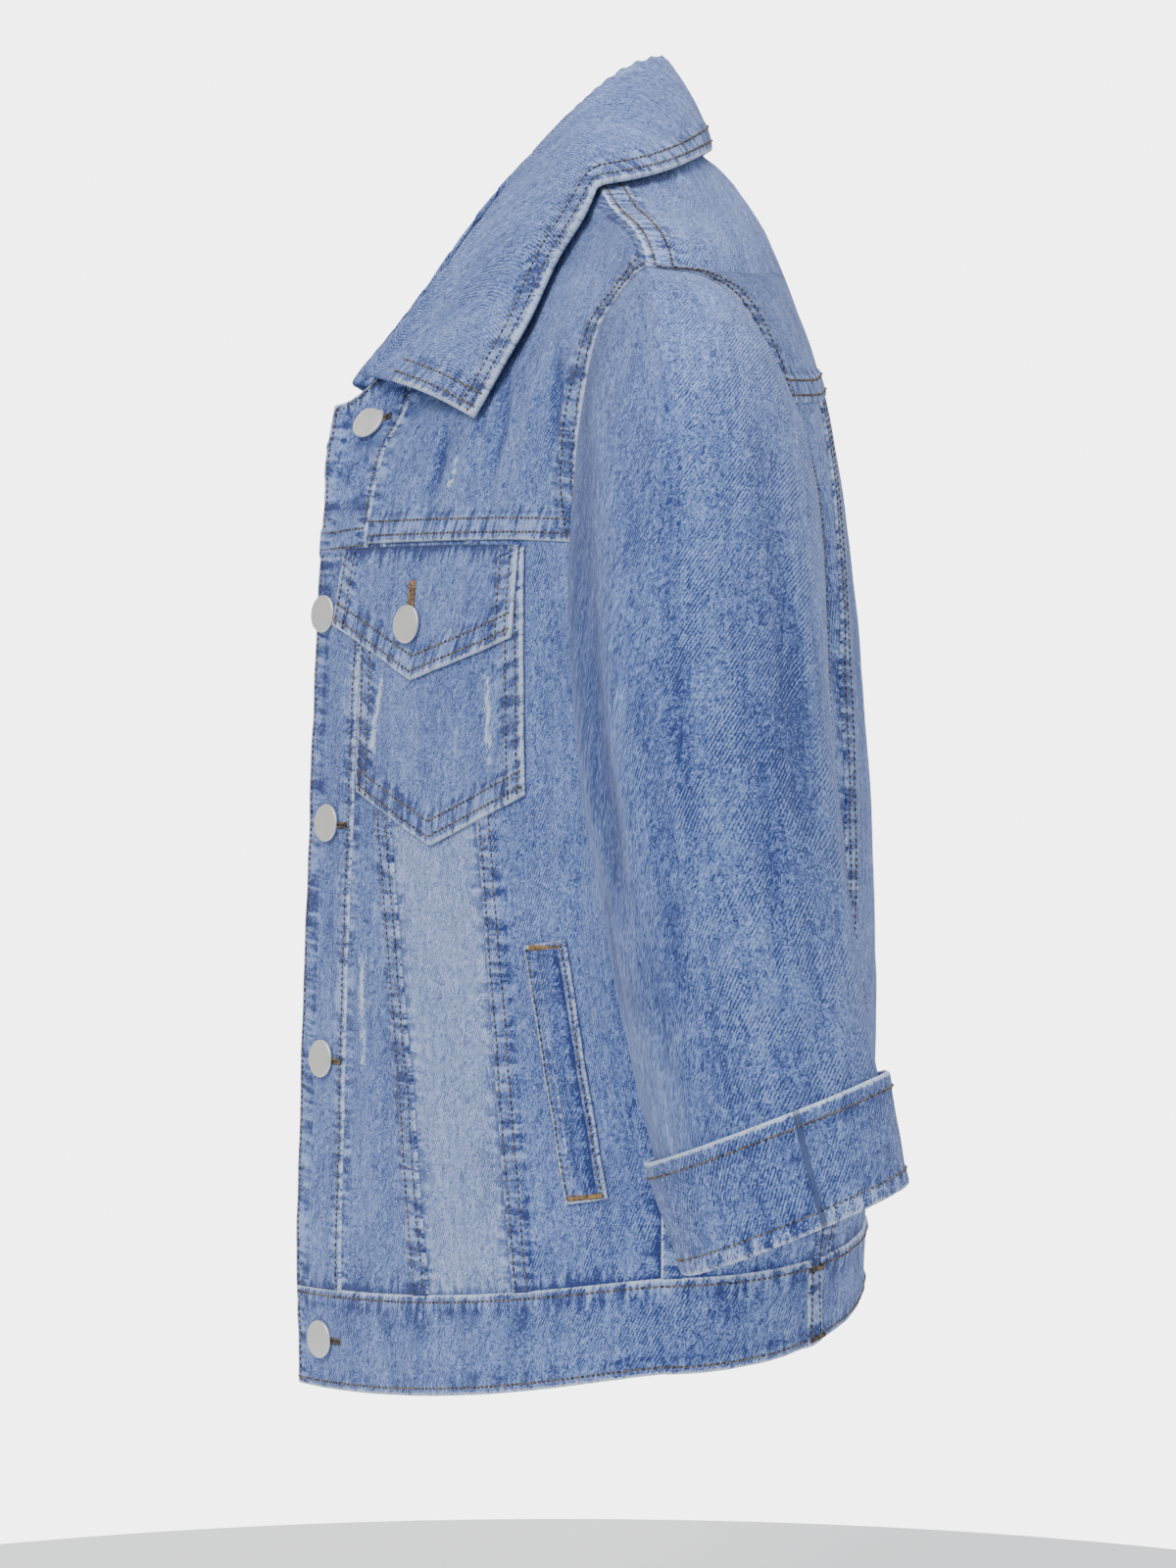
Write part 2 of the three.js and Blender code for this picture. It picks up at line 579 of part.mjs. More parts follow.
// Collar: one folded wall, from the neck up the stand, over the fold and down the fall
function collarStation(w) {
  const left = w <= 1;
  const at = (left ? w : 2 - w) * (COLLAR.length - 1);
  const key = (name) => through(COLLAR.map((row) => row[name]), at);
  const fold = new THREE.Vector3(left ? key("x") : -key("x"), key("y"), key("z"));
  const neckS = left ? key("s") : 4 - key("s");
  const edgeS = left ? key("edgeS") : 4 - key("edgeS");
  const upward = bodySurface(neckS, NECK).sub(bodySurface(neckS, NECK - 0.05)).normalize();
  const start = bodyPoint(neckS, NECK, -CLOTH / 2).addScaledVector(upward, DOUBLE / 2 + 3 * SEAM_GAP);
  const edge = bodyPoint(edgeS, key("edgeRow"), COLLAR_LIFT);
  const crown = bodyPoint(mix(neckS, edgeS, 0.5), mix(NECK, key("edgeRow"), 0.5), COLLAR_CROWN);
  return { start, fold, edge, crown };
}

function collarProfile(w) {
  const { start, fold, edge, crown } = collarStation(w);
  const outward = edge.clone().sub(start);
  const rise = fold.clone().sub(start).add(fold.clone().sub(edge)).normalize();
  outward.addScaledVector(rise, -outward.dot(rise)).normalize();
  const points = [];
  const low = fold.clone().addScaledVector(rise, -COLLAR_FOLD_RADIUS);
  const inside = low.clone().addScaledVector(outward, -COLLAR_FOLD_RADIUS);
  const outside = low.clone().addScaledVector(outward, COLLAR_FOLD_RADIUS);
  for (let k = 0; k < 3; k += 1) points.push(start.clone().lerp(inside, k / 3));
  for (let k = 0; k <= 4; k += 1) {
    const angle = Math.PI - (Math.PI * k) / 4;
    points.push(
      low
        .clone()
        .addScaledVector(outward, COLLAR_FOLD_RADIUS * Math.cos(angle))
        .addScaledVector(rise, COLLAR_FOLD_RADIUS * Math.sin(angle)),
    );
  }
  for (let k = 1; k <= 4; k += 1) {
    const t = k / 4;
    points.push(outside.clone().lerp(crown, t).lerp(crown.clone().lerp(edge, t), t));
  }
  return points;
}

function collar() {
  const stations = 30;
  const grid = Array.from({ length: stations + 1 }, (_, i) => collarProfile((2 * i) / stations));
  const normals = grid.map((column, i) =>
    column.map((point, j) => {
      const round = grid[Math.min(i + 1, stations)][j].clone().sub(grid[Math.max(i - 1, 0)][j]);
      const along = column[Math.min(j + 1, column.length - 1)].clone().sub(column[Math.max(j - 1, 0)]);
      return along.cross(round).normalize();
    }),
  );
  const moved = (out) => (point, i, j) => point.clone().addScaledVector(normals[i][j], out);
  const layer = (out) => grid.map((column, i) => column.map((point, j) => moved(out)(point, i, j)));
  add("collar", wall(layer(-DOUBLE / 2), layer(DOUBLE / 2), false), DENIM);
}

// Buttons: flat discs on short shanks, turned to face the way the cloth does there
const BUTTONS = [
  { name: "button_collar", x: 22, row: 6.98, out: PLACKET_RISE },
  { name: "button_chest", x: 9, row: 4.55, out: PLACKET_RISE },
  { name: "button_middle", x: 20, row: 3.39, out: PLACKET_RISE },
  { name: "button_waist", x: 21.5, row: 2.25, out: PLACKET_RISE },
  { name: "button_band", x: 24, row: 0.55, out: BAND_RISE },
];

function buttonProfile() {
  const outline = [
    [0, 0],
    [BUTTON_RADIUS / 2, 0],
    [BUTTON_RADIUS, 0.4 * BUTTON_HEIGHT],
    [BUTTON_RADIUS, 0.7 * BUTTON_HEIGHT],
    [0.9 * BUTTON_RADIUS, BUTTON_HEIGHT],
    [0, BUTTON_HEIGHT],
  ];
  return outline.map(([radius, z]) => new THREE.Vector2(radius, z));
}

function button(name, place, out) {
  const geometry = new THREE.LatheGeometry(buttonProfile(), 14);
  geometry.rotateX(Math.PI / 2);
  const mesh = add(name, geometry, METAL);
  const normal = bodyNormal(place.s, place.row);
  mesh.position.copy(bodyPoint(place.s, place.row, out));
  mesh.quaternion.setFromUnitVectors(new THREE.Vector3(0, 0, 1), normal);
}

function buttons() {
  for (const { name, x, row, out } of BUTTONS) {
    button(name, { s: acrossFront(x, row), row }, out + BUTTON_SEAT);
  }
  const onFlap = { s: 0.236, row: 4.46 };
  button("button_flap_left", onFlap, ON_POCKET + BUTTON_SEAT);
  button("button_flap_right", mirrored([onFlap])[0], ON_POCKET + BUTTON_SEAT);
}

frontPanels();
backPanels();
plackets();
waistband();
pockets();
sleeves();
collar();
buttons();

export default jacket;
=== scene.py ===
import math
from dataclasses import dataclass, replace

import bpy
import numpy as np
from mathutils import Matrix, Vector


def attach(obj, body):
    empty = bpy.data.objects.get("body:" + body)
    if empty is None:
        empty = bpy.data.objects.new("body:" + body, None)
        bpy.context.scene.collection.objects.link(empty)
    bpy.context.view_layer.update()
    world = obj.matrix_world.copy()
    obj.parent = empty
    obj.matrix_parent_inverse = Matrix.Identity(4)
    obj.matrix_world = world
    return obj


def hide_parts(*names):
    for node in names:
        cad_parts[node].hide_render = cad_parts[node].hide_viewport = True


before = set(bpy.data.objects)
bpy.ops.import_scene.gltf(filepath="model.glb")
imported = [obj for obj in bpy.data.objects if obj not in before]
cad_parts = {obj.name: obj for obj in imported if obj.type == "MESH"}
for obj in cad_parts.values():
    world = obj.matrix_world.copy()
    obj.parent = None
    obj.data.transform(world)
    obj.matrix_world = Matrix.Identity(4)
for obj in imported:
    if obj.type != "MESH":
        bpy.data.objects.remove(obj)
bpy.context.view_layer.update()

# Denim jacket, filled out as if worn. Metres. +Z is up, -Y is the front, +X is the wearer's left.
MM = 0.001
CELL = 2.8 * MM  # size of one mesh cell of the cloth
FEWEST_CELLS, MOST_CELLS = 8, 260  # of a piece, each way
PROBES = 13  # grid lines that measure a piece, each way
GATHER = 0.55  # how much the grid lines draw together at the borders

# Cloth and sewing
CLOTH = 1.4 * MM
DOUBLE = 2.2 * MM
LAY = 0.35 * MM
PLACKET_WIDTH = 38 * MM
PLACKET_RISE = 0.8 * MM
BAND_RISE = 0.7 * MM
FRONT_EDGE = 0.8 * MM
UNDERLAP = 27 * MM
LAP_STEP = (-4.8 * MM, -0.6 * MM)  # where the right front steps down under the left one
LAP_DEPTH = 2.1 * MM
ON_PANEL = LAY + CLOTH
ON_POCKET = 2 * ON_PANEL + 0.1 * MM
BUTTON_RADIUS = 8.5 * MM
BUTTON_HEIGHT = 2.5 * MM
BUTTON_SEAT = 0.5 * MM
THREAD = 0.58 * MM  # radius of the topstitch thread
PITCH = 2.7 * MM  # length of one stitch
NARROWEST = 10.1 * MM  # least width that a cut strip has
LEAST_AREA = 0.31  # least share of its flat size that a piece's area is taken as
PLACKET_THICK = 2.4 * MM
RIM_BULGE = 0.35  # how far a wall's rim bulges, as a share of its thickness
STRIP_SLOPE = 1.4 * MM  # width of the slope beside a raised strip
BORDER_DROP, BORDER_ROUND = 0.3 * MM, 1.3 * MM  # a border is lower by the first, over the width of the second

# Looks of the cloth: painted highlight and wear on ridges, and painted shade in creases, as (most, height of
# crease that has it), painted shadow beside a raised strip as (most, distance, width), and the share of each
# part of the finish that the inside keeps
RIDGE_HIGHLIGHT_AND_WEAR = (0.22, 1.3 * MM)
CREASE_SHADE = (0.85, 3 * MM)
STRIP_SHADE = (0.55, 0.9 * MM, 1.2 * MM)
INSIDE_FINISH = np.array([0.5, 1, 1, 0.2])
PATTERN_SHIFT = 3  # pieces are cut from anywhere in this many metres of cloth
PAINTED_SHADOW_WIDTH = 2.8 * MM  # how far the painted shadow beside a border reaches
LEAST_PUCKERED = 4 * MM  # width of the puckers on a border without a raised strip
PUCKER_REACH = 7 * MM  # how far the puckers go on beyond a sewn border
STITCH_TRIM = 0.6 * MM  # a row of stitches stops this short of both ends

# Sewing: buttonholes as (length, width of their stitches), and the distance from stitch to stitch
FLAP_HOLE = (17 * MM, 2.3 * MM)
STRIP_HOLE = (14 * MM, 1.4 * MM)
HOLE_PITCH = 0.62 * MM
TACK_PITCH = 0.5 * MM
TACK_WIDTH = 2.2 * MM

# Level rings of the body from the hem up, in millimetres: height at the front edge, side and back; depth (y)
# at the same places; half width; how straight the front runs to its edge; how square the corners are
RINGS = np.array([
    (-555, -528, -496, -118, 20, 132, 203, 0.72, 0.14),
    (-511, -489, -471, -119, 20, 133, 205, 0.72, 0.14),
    (-430, -415, -400, -117, 19, 139, 206, 0.72, 0.14),
    (-335, -333, -305, -114, 18, 137, 208, 0.72, 0.14),
    (-250, -257, -205, -111, 17, 130, 211, 0.74, 0.12),
    (-176, -165, -108, -108, 14, 117, 217, 0.84, 0.04),
    (-142, -72, -50, -106, 9, 96, 225, 0.97, -0.14),
    (-124, -35, -10, -104, 3, 80, 150, 0.97, -0.16),
    (-111, 0, 12, -102, -2, 57, 80, 0.6, -0.05),
])
BACK_SQUARE = 1.14  # how square the back's corners are
DIP_POWER = 1.8  # how late the height of a ring dips on its way to the side
BAND_TOP = 1
NECK = 8

# Places on the body are (s, row): s is 0 at the front edge, 1 at the left side, 2 at the middle of the back
# and 4 back at the front edge; row counts the rings. The armhole starts at the shoulder and goes round by the
# front.
ARMHOLE = np.array([
    (1.0, 6.02), (0.81, 6.05), (0.68, 5.95), (0.62, 5.6),
    (0.61, 5.2), (0.645, 4.834), (0.69, 4.4), (0.8, 4.08),
    (1.0, 3.97), (1.2, 4.1), (1.34, 4.45), (1.385, 4.9),
    (1.365, 5.31), (1.32, 5.6), (1.24, 5.85), (1.13, 5.98),
])
SHOULDER, FRONT_YOKE, UNDERARM, BACK_YOKE = 0, 5, 8, 12
FRONT_SEAM = ((0.3, 1), (0.256, 2.2), (0.194, 3.35), (0.15, 4.99))
POCKET_SEAM = ((0.49, 1), (0.438, 2.4), (0.396, 3.36), (0.34, 4.93))
SIDE_SEAM = ((0.958, 1), (0.98, 2.4), (1.0, 3.97))
BACK_SEAM = ((1.36, 1), (1.44, 2.6), (1.5, 4.0), (1.6, 5.16))
BAND_SEAM = (1.34, 1.385)
FRONT_YOKE_LOW = (5.04, 0.32)  # row of the front yoke's lower edge at s 0, and its fall for each s
YOKE_LAP = (4.9, 0.3, 0.9 * MM)  # row, half height and depth of the lap over the panels
YOKE_ON_STRIP = (4.93, 5.2)  # lower and upper edge of the yoke's seam on the button strip
YOKE_ROWS = (4.99, 5.14)  # its two rows of stitches

# Pockets, flaps and welts: corners as (s, row)
POCKET = dict(left=((0.116, 3.56), (0.114, 4.95)), right=((0.512, 3.58), (0.48, 4.84)), tip=(0.288, 3.29))
FLAP = dict(left=((0.056, 4.48), (0.075, 4.97)), right=((0.472, 4.39), (0.474, 4.85)), tip=(0.24, 4.17))
WELT = dict(left=((0.628, 1.51), (0.516, 2.79)), right=((0.742, 1.52), (0.62, 2.82)))

# Folds of the body: place (s, row), half widths in s and rows, lean (s for each row), depth in millimetres
BODY_FOLDS = np.array([
    (1.47, 4.3, 0.045, 0.9, 0.0, 3.0), (1.72, 2.6, 0.06, 1.3, 0.01, 2.4),
    (2.22, 2.2, 0.07, 1.2, -0.02, 2.8), (0.72, 3.7, 0.05, 0.7, 0.0, 2.0),
    (3.24, 3.5, 0.05, 0.8, 0.0, 2.4), (2.55, 4.2, 0.045, 0.8, 0.0, 3.0),
    (0.26, 5.7, 0.024, 0.66, 0.02, 3.4), (0.33, 5.65, 0.024, 0.6, 0.025, -1.8),
    (0.40, 5.75, 0.024, 0.68, 0.03, 3.8), (0.47, 5.6, 0.026, 0.55, 0.02, -2.0),
    (0.54, 5.7, 0.024, 0.66, 0.02, 3.2), (0.20, 1.9, 0.022, 0.7, 0.0, 0.9),
    (0.24, 3.0, 0.018, 0.6, 0.0, -0.8), (0.56, 3.6, 0.03, 0.9, -0.01, 1.2),
    (0.84, 2.2, 0.035, 1.0, 0.02, 1.4), (0.66, 4.2, 0.026, 0.6, 0.01, 1.4),
    (3.45, 5.7, 0.03, 0.6, -0.02, 1.5), (3.6, 5.8, 0.028, 0.6, -0.02, -1.2),
    (3.72, 5.7, 0.026, 0.6, -0.02, 1.4), (3.16, 2.3, 0.04, 1.0, 0.0, 1.5),
    (3.4, 2.0, 0.03, 0.8, 0.01, 1.1), (1.15, 2.4, 0.04, 1.1, 0.01, 1.7),
    (1.3, 3.4, 0.035, 0.8, 0.03, -1.3), (1.62, 3.6, 0.04, 1.0, 0.02, 1.5),
    (1.9, 3.9, 0.05, 0.9, 0.0, 1.6), (2.05, 1.9, 0.045, 0.8, 0.01, -1.4),
    (2.38, 3.3, 0.045, 1.0, -0.02, 1.7), (2.72, 2.5, 0.045, 1.1, -0.01, 1.8),
    (2.86, 3.8, 0.04, 0.7, -0.02, 1.4), (1.72, 5.7, 0.05, 0.5, 0.05, 1.0),
    (2.3, 5.8, 0.05, 0.5, -0.05, 1.0), (1.98, 5.6, 0.04, 0.45, 0.0, -0.8),
    (2.5, 2.0, 0.04, 0.9, 0.0, 1.3),
])

# Sleeve rings below the armhole, in millimetres: centre, half sizes and slope
SLEEVE = np.array([
    (268, 29, -300, 55, 50.5, 0.1),
    (270, 38, -358, 54.5, 48, 0.24),
    (273, 49, -417, 54, 44.5, 0.39),
    (277, 60, -461, 54.5, 43, 0.41),
])
ARMHOLE_CENTRE = np.array((205, 25, -165)) * MM
SLEEVE_TIP = 0.1  # slope of the rings from the body outwards
CAP_LEAN = (0.22, 0.2, -0.5)  # the cap leaves the armhole outwards, leaning with its radius, and down
CAP_REACH = 1.15  # pull of the cap's curve at both ends, as a share of its length
CUFF_FLARE = 2 * MM

# Places on the sleeve are (turn, down): turn counts the armhole's stops, down goes from 0 at the armhole over
# 1 at the first ring to 4 at the last one. The head begins a little under the armhole's edge.
UNDER_SEAM, ELBOW_SEAM = 6.5, 11.5
TUCK = -0.022
SLEEVE_END = 3.97
CUFF = (3.0, 4.0)

# Long folds of the sleeve: turn, where it starts and ends, half width, lean (turns for each ring) and depth
# in millimetres
SLEEVE_FOLDS = np.array([
    (3.1, 0.02, 1.7, 0.8, 0.0, 5.2), (1.7, 0.25, 2.6, 0.6, 0.0, 2.4),
    (14.4, 0.1, 1.6, 0.8, 0.0, 2.6), (12.6, 0.6, 2.9, 0.7, 0.0, 2.2),
    (9.6, 0.5, 1.7, 0.8, 0.0, 3.0), (0.9, 0.3, 1.5, 0.38, 0.2, 1.5),
    (15.5, 0.5, 2.7, 0.42, 0.25, 1.3), (2.4, 1.2, 3.0, 0.4, 0.2, 1.4),
    (0.1, 1.4, 3.0, 0.34, 0.15, -1.1), (3.9, 0.8, 2.6, 0.4, 0.1, 1.6),
    (14.9, 1.5, 3.0, 0.32, 0.2, 1.2), (13.6, 0.9, 2.4, 0.35, 0.2, -1.2),
    (11.0, 0.8, 2.8, 0.5, 0.0, 1.8), (5.2, 0.4, 2.4, 0.5, 0.0, 1.8),
    (8.2, 0.6, 2.7, 0.5, 0.0, 1.6), (1.2, 1.9, 3.0, 0.3, 0.2, 1.1),
    (0.45, 0.12, 0.9, 0.3, 0.3, 0.9),
])

# Collar from its left front end to the middle of the back, in millimetres: neck place (s), fold line
# (x, y, z), and the place on the body where its outer edge lies (s, row)
COLLAR = np.array([
    (0.18, 21, -89.5, -98, 0.352, 5.89),
    (0.36, 41, -58, -56, 0.47, 6.4),
    (0.58, 60, -30, -17, 0.63, 6.9),
    (0.85, 68, -6, 11, 0.83, 7.05),
    (1.2, 58, 20, 34, 1.16, 7.3),
    (1.6, 32, 41, 46, 1.55, 7.55),
    (2.0, 0, 49, 50, 2.0, 7.62),
])
COLLAR_RADIUS = 2.6 * MM
COLLAR_LIFT = 3.8 * MM
COLLAR_CROWN = 14 * MM
COLLAR_START = (DOUBLE / 2) + 1.2 * MM

random = np.random.default_rng(7)


def bump(distance):
    """A rounded hump: half of one plus the cosine inside a distance of one, nothing outside."""
    return np.where(np.abs(distance) < 1, (1 + np.cos(np.pi * distance)) / 2, 0.0)


def step(x):
    """Smooth step from 0 to 1 while x goes from 0 to 1."""
    x = np.clip(x, 0, 1)
    return x * x * (3 - 2 * x)


def nearly(value, target, width):
    """Bell curve: one at the target, nearly nothing beyond twice the width from it."""
    return np.exp(-(((value - target) / width) ** 2))


def unit(vectors):
    return vectors / np.maximum(np.linalg.norm(vectors, axis=-1, keepdims=True), 1e-12)


def catmull_rom(before, a, b, after, f):
    """Point of the curve through four stops, at the fraction f of the way from a to b."""
    bend = 2 * before - 5 * a + 4 * b - after
    return a + 0.5 * f * (b - before + f * (bend + f * (3 * (a - b) + after - before)))


def through(values, at):
    """Curve through evenly spaced rows of values, going on straight past both ends."""
    values = np.asarray(values, float)
    at = np.asarray(at, float)
    last = len(values) - 1
    i = np.clip(np.floor(at).astype(int), 0, last - 1)
    f = (at - i)[..., None]
    ends = np.vstack([2 * values[0] - values[1], values, 2 * values[-1] - values[-2]])
    return catmull_rom(*(ends[i + k] for k in range(4)), f)


def body_surface(s, row):
    """Ring of the body at that row: it goes to the sides as a cubic of the sine, to the front as a blend of
    a straight ridge and a cosine, and to the back as a cubic of the cosine. Its height dips at the sides."""
    s, row = np.broadcast_arrays(s, row)
    ring = np.moveaxis(through(RINGS, row), -1, 0)
    front_z, side_z, back_z, front_y, side_y, back_y, half, ridge, full = ring
    left = (s + 2) % 4 - 2
    turn = np.abs(left) * np.pi / 2
    across, along = np.sin(turn), np.cos(turn)
    front = along > 0
    back_reach = -BACK_SQUARE * along + (BACK_SQUARE - 1) * along**3
    reach = np.where(front, (1 - ridge) * along + ridge * (1 - across), back_reach)
    rise = 1 - np.abs(across) ** DIP_POWER
    x = np.sign(left) * half * ((1 + full) * across - full * across**3)
    y = side_y + (np.where(front, front_y, back_y) - side_y) * reach
    z = side_z + (np.where(front, front_z, back_z) - side_z) * rise
    return np.stack([x, y, z], -1) * MM


def body_normal(s, row):
    """Cross product of the surface's steps round and up."""
    e = 0.01
    around = body_surface(s + e, row) - body_surface(s - e, row)
    up = body_surface(s, row + e) - body_surface(s, row - e)
    return unit(np.cross(around, up))


def rumple(a, b, seed, waves=14):
    """Soft unevenness: a sum of sines with seeded directions, lengths and phases, about -1 to 1."""
    source = np.random.default_rng(seed)
    total = np.zeros(np.broadcast(a, b).shape)
    for _ in range(waves):
        ka, kb, phase = source.normal(0, 1), source.normal(0, 1), source.uniform(0, 2 * np.pi)
        total = total + np.sin(ka * a + kb * b + phase)
    return total / math.sqrt(waves)


def body_relief(s, row):
    """Height of the cloth's creases: each fold is a hump across times a hump along, leaning with the row."""
    turned = s % 4
    total = 0.34 * MM * rumple(turned * 26, row * 5, 3) + 0.16 * MM * rumple(turned * 62, row * 11, 4)
    for fold_s, fold_row, wide, tall, lean, depth in BODY_FOLDS:
        middle = fold_s + lean * (row - fold_row) + 0.1 * wide * np.sin(5 * row + 9 * fold_s)
        total = total - depth * MM * bump((turned - middle) / wide) * bump((row - fold_row) / tall)
    return total


def body_point(s, row, out):
    """The body surface moved out along its normal by the creases and the given height."""
    s, row = np.broadcast_arrays(s, row)
    lift = body_relief(s, row) + out
    return body_surface(s, row) + body_normal(s, row) * lift[..., None]


def front_scale(row):
    """Distance from the front edge for each sine of the turn, near that edge."""
    ring = through(RINGS, row)
    return ring[..., 6] * (1 + ring[..., 8]) * MM


def across_front(distance, row):
    """s of a place on the front, a given distance to the left of the front edge."""
    return np.arcsin(distance / front_scale(row)) * 2 / np.pi


def armhole_at(turn):
    """Closed curve through the armhole's stops, as (s, row)."""
    size = len(ARMHOLE)
    turn = np.asarray(turn, float)
    i = np.floor(turn).astype(int)
    f = (turn - i)[..., None]
    return catmull_rom(*(ARMHOLE[(i + k) % size] for k in (-1, 0, 1, 2)), f)


def sleeve_ring(turn, at):
    """Leaning ellipse: cosine and sine of the turn, with a slope from front to back and a tip outwards."""
    x, y, z, half_x, half_y, slope = np.moveaxis(through(SLEEVE, at), -1, 0)
    angle = -turn / len(ARMHOLE) * 2 * np.pi
    dx, dy = half_x * np.cos(angle), half_y * np.sin(angle)
    return np.stack([x + dx, y + dy, z + slope * dy + SLEEVE_TIP * dx], -1) * MM


def sleeve_surface(turn, down):
    """From the armhole's edge a cubic Hermite curve to the first ring, and then the rings."""
    turn, down = np.broadcast_arrays(turn, down)
    place = armhole_at(turn)
    start = body_point(place[..., 0], place[..., 1], 0.0)
    end = sleeve_ring(turn, np.zeros(turn.shape))
    radial = start - ARMHOLE_CENTRE
    radial[..., 0] = 0
    radial = unit(radial)
    lean_y, lean_z = CAP_LEAN[0] * radial[..., 1], CAP_LEAN[1] * radial[..., 2] + CAP_LEAN[2]
    outward = unit(np.stack([np.ones(turn.shape), lean_y, lean_z], -1))
    reach = CAP_REACH * np.linalg.norm(start - end, axis=-1, keepdims=True)
    downward = unit(sleeve_ring(turn, np.full(turn.shape, 0.2)) - end)
    t = np.clip(down, None, 1)[..., None]
    cap = start * (2 * t**3 - 3 * t**2 + 1) + outward * reach * (t**3 - 2 * t**2 + t)
    cap = cap + end * (3 * t**2 - 2 * t**3) + downward * reach * (t**3 - t**2)
    return np.where((down >= 1)[..., None], sleeve_ring(turn, np.maximum(down - 1, 0)), cap)


def sleeve_normal(turn, down):
    e = 0.02
    low = np.maximum(down, e)
    around = sleeve_surface(turn - e, down) - sleeve_surface(turn + e, down)
    along = sleeve_surface(turn, low - e) - sleeve_surface(turn, low + e)
    return unit(np.cross(around, along))


def sleeve_relief(turn, down):
    """Long folds: a hump across the turn times a hump along the sleeve, fading out at the armhole."""
    size = len(ARMHOLE)
    total = 0.5 * MM * rumple(turn * 2.2, down * 3, 5) + 0.2 * MM * rumple(turn * 5, down * 8, 6)
    for fold_turn, start, stop, width, lean, depth in SLEEVE_FOLDS:
        middle = (start + stop) / 2
        off = (turn - fold_turn - lean * (down - middle) + size / 2) % size - size / 2
        total = total - depth * MM * bump(off / width) * bump((down - middle) / (stop - middle))
    return total * np.clip(down * 4, 0, 1)


def sleeve_point(turn, down, out):
    """The sleeve's surface moved out along its normal by the folds and the given height."""
    turn, down = np.broadcast_arrays(turn, down)
    lift = sleeve_relief(turn, down) + out
    return sleeve_surface(turn, down) + sleeve_normal(turn, down) * lift[..., None]


def collar_surface(w, t):
    """Collar from its left end (w 0) round the neck to the right one (w 2): for t 0 to 1 the profile goes
    straight up the stand, over the fold in a half circle, and down a quadratic curve to the outer edge."""
    w, t = np.broadcast_arrays(w, t)
    side = np.where(w <= 1, 1.0, -1.0)
    at = np.where(w <= 1, w, 2 - w) * (len(COLLAR) - 1)
    neck_s, x, y, z, edge_s, edge_row = np.moveaxis(through(COLLAR, at), -1, 0)
    fold = np.stack([side * x, y, z], -1) * MM
    neck_s = np.where(side > 0, neck_s, 4 - neck_s)
    edge_s = np.where(side > 0, edge_s, 4 - edge_s)
    neck = np.full(w.shape, float(NECK))
    upward = unit(body_surface(neck_s, neck) - body_surface(neck_s, neck - 0.05))
    start = body_point(neck_s, neck, -CLOTH / 2) + upward * COLLAR_START
    edge = body_surface(edge_s, edge_row) + body_normal(edge_s, edge_row) * COLLAR_LIFT
    mid_s, mid_row = (neck_s + edge_s) / 2, (neck + edge_row) / 2
    crown = body_surface(mid_s, mid_row) + body_normal(mid_s, mid_row) * COLLAR_CROWN
    rise = unit(2 * fold - start - edge)
    outward = edge - start
    outward = unit(outward - rise * (outward * rise).sum(-1, keepdims=True))
    low = fold - rise * COLLAR_RADIUS
    inside, outside = low - outward * COLLAR_RADIUS, low + outward * COLLAR_RADIUS
    stand = np.linalg.norm(inside - start, axis=-1)
    fall = np.linalg.norm(edge - crown, axis=-1) + np.linalg.norm(crown - outside, axis=-1)
    arc = math.pi * COLLAR_RADIUS
    run = t * (stand + arc + fall)
    up = np.clip(run / stand, 0, 1)[..., None]
    angle = (np.pi * (1 - np.clip((run - stand) / arc, 0, 1)))[..., None]
    down = np.clip((run - stand - arc) / fall, 0, 1)[..., None]
    first = start + (inside - start) * up
    turned = low + outward * COLLAR_RADIUS * np.cos(angle) + rise * COLLAR_RADIUS * np.sin(angle)
    last = (1 - down) ** 2 * outside + 2 * down * (1 - down) * crown + down**2 * edge
    over = (run > stand)[..., None]
    return np.where((run > stand + arc)[..., None], last, np.where(over, turned, first))


def collar_point(w, t, out):
    """The collar's surface, moved out along its normal by an unevenness and the given height."""
    w, t = np.broadcast_arrays(w, t)
    ew, et = 0.01, 0.02
    around = collar_surface(np.minimum(w + ew, 2), t) - collar_surface(np.maximum(w - ew, 0), t)
    along = collar_surface(w, np.minimum(t + et, 1)) - collar_surface(w, np.maximum(t - et, 0))
    lift = out + 0.3 * MM * rumple(w * 9, t * 4, 8) * step(t * 3 - 1)
    return collar_surface(w, t) + unit(np.cross(along, around)) * np.broadcast_to(lift, w.shape)[..., None]


# Runs: functions of t (0 to 1) that give (s, row) along one border
def line(a, b):
    a, b = np.array(a, float), np.array(b, float)
    return lambda t: a + (b - a) * np.asarray(t, float)[..., None]


def arm(start, stop):
    return lambda t: armhole_at(start + (stop - start) * np.asarray(t, float))


def chain(*parts):
    """Runs one after the other, each with a share of t as large as its weight."""
    weights = np.array([weight for _, weight in parts], float)
    ends = np.concatenate([[0], np.cumsum(weights)]) / weights.sum()

    def run(t):
        t = np.asarray(t, float)
        result = np.zeros(t.shape + (2,))
        for k, (part, _) in enumerate(parts):
            here = (t >= ends[k]) if k == len(parts) - 1 else (t >= ends[k]) & (t < ends[k + 1])
            local = np.clip((t - ends[k]) / (ends[k + 1] - ends[k]), 0, 1)
            result = np.where(here[..., None], part(local), result)
        return result

    return run


def seam(stops, top):
    """Straight stretches between the stops, even in row, from the first stop up to the row top."""
    stops = np.array(stops, float)

    def run(t):
        row = stops[0, 1] + (top - stops[0, 1]) * np.asarray(t, float)
        return np.stack([np.interp(row, stops[:, 1], stops[:, 0]), row], -1)

    return run


def strip_edge(distance, low, high):
    """Up the front at a given distance from the front edge."""

    def run(t):
        row = low + (high - low) * np.asarray(t, float)
        return np.stack([across_front(distance, row), row], -1)

    return run


def opposite(run):
    return lambda t: run(t) * np.array([-1, 1]) + np.array([4, 0])


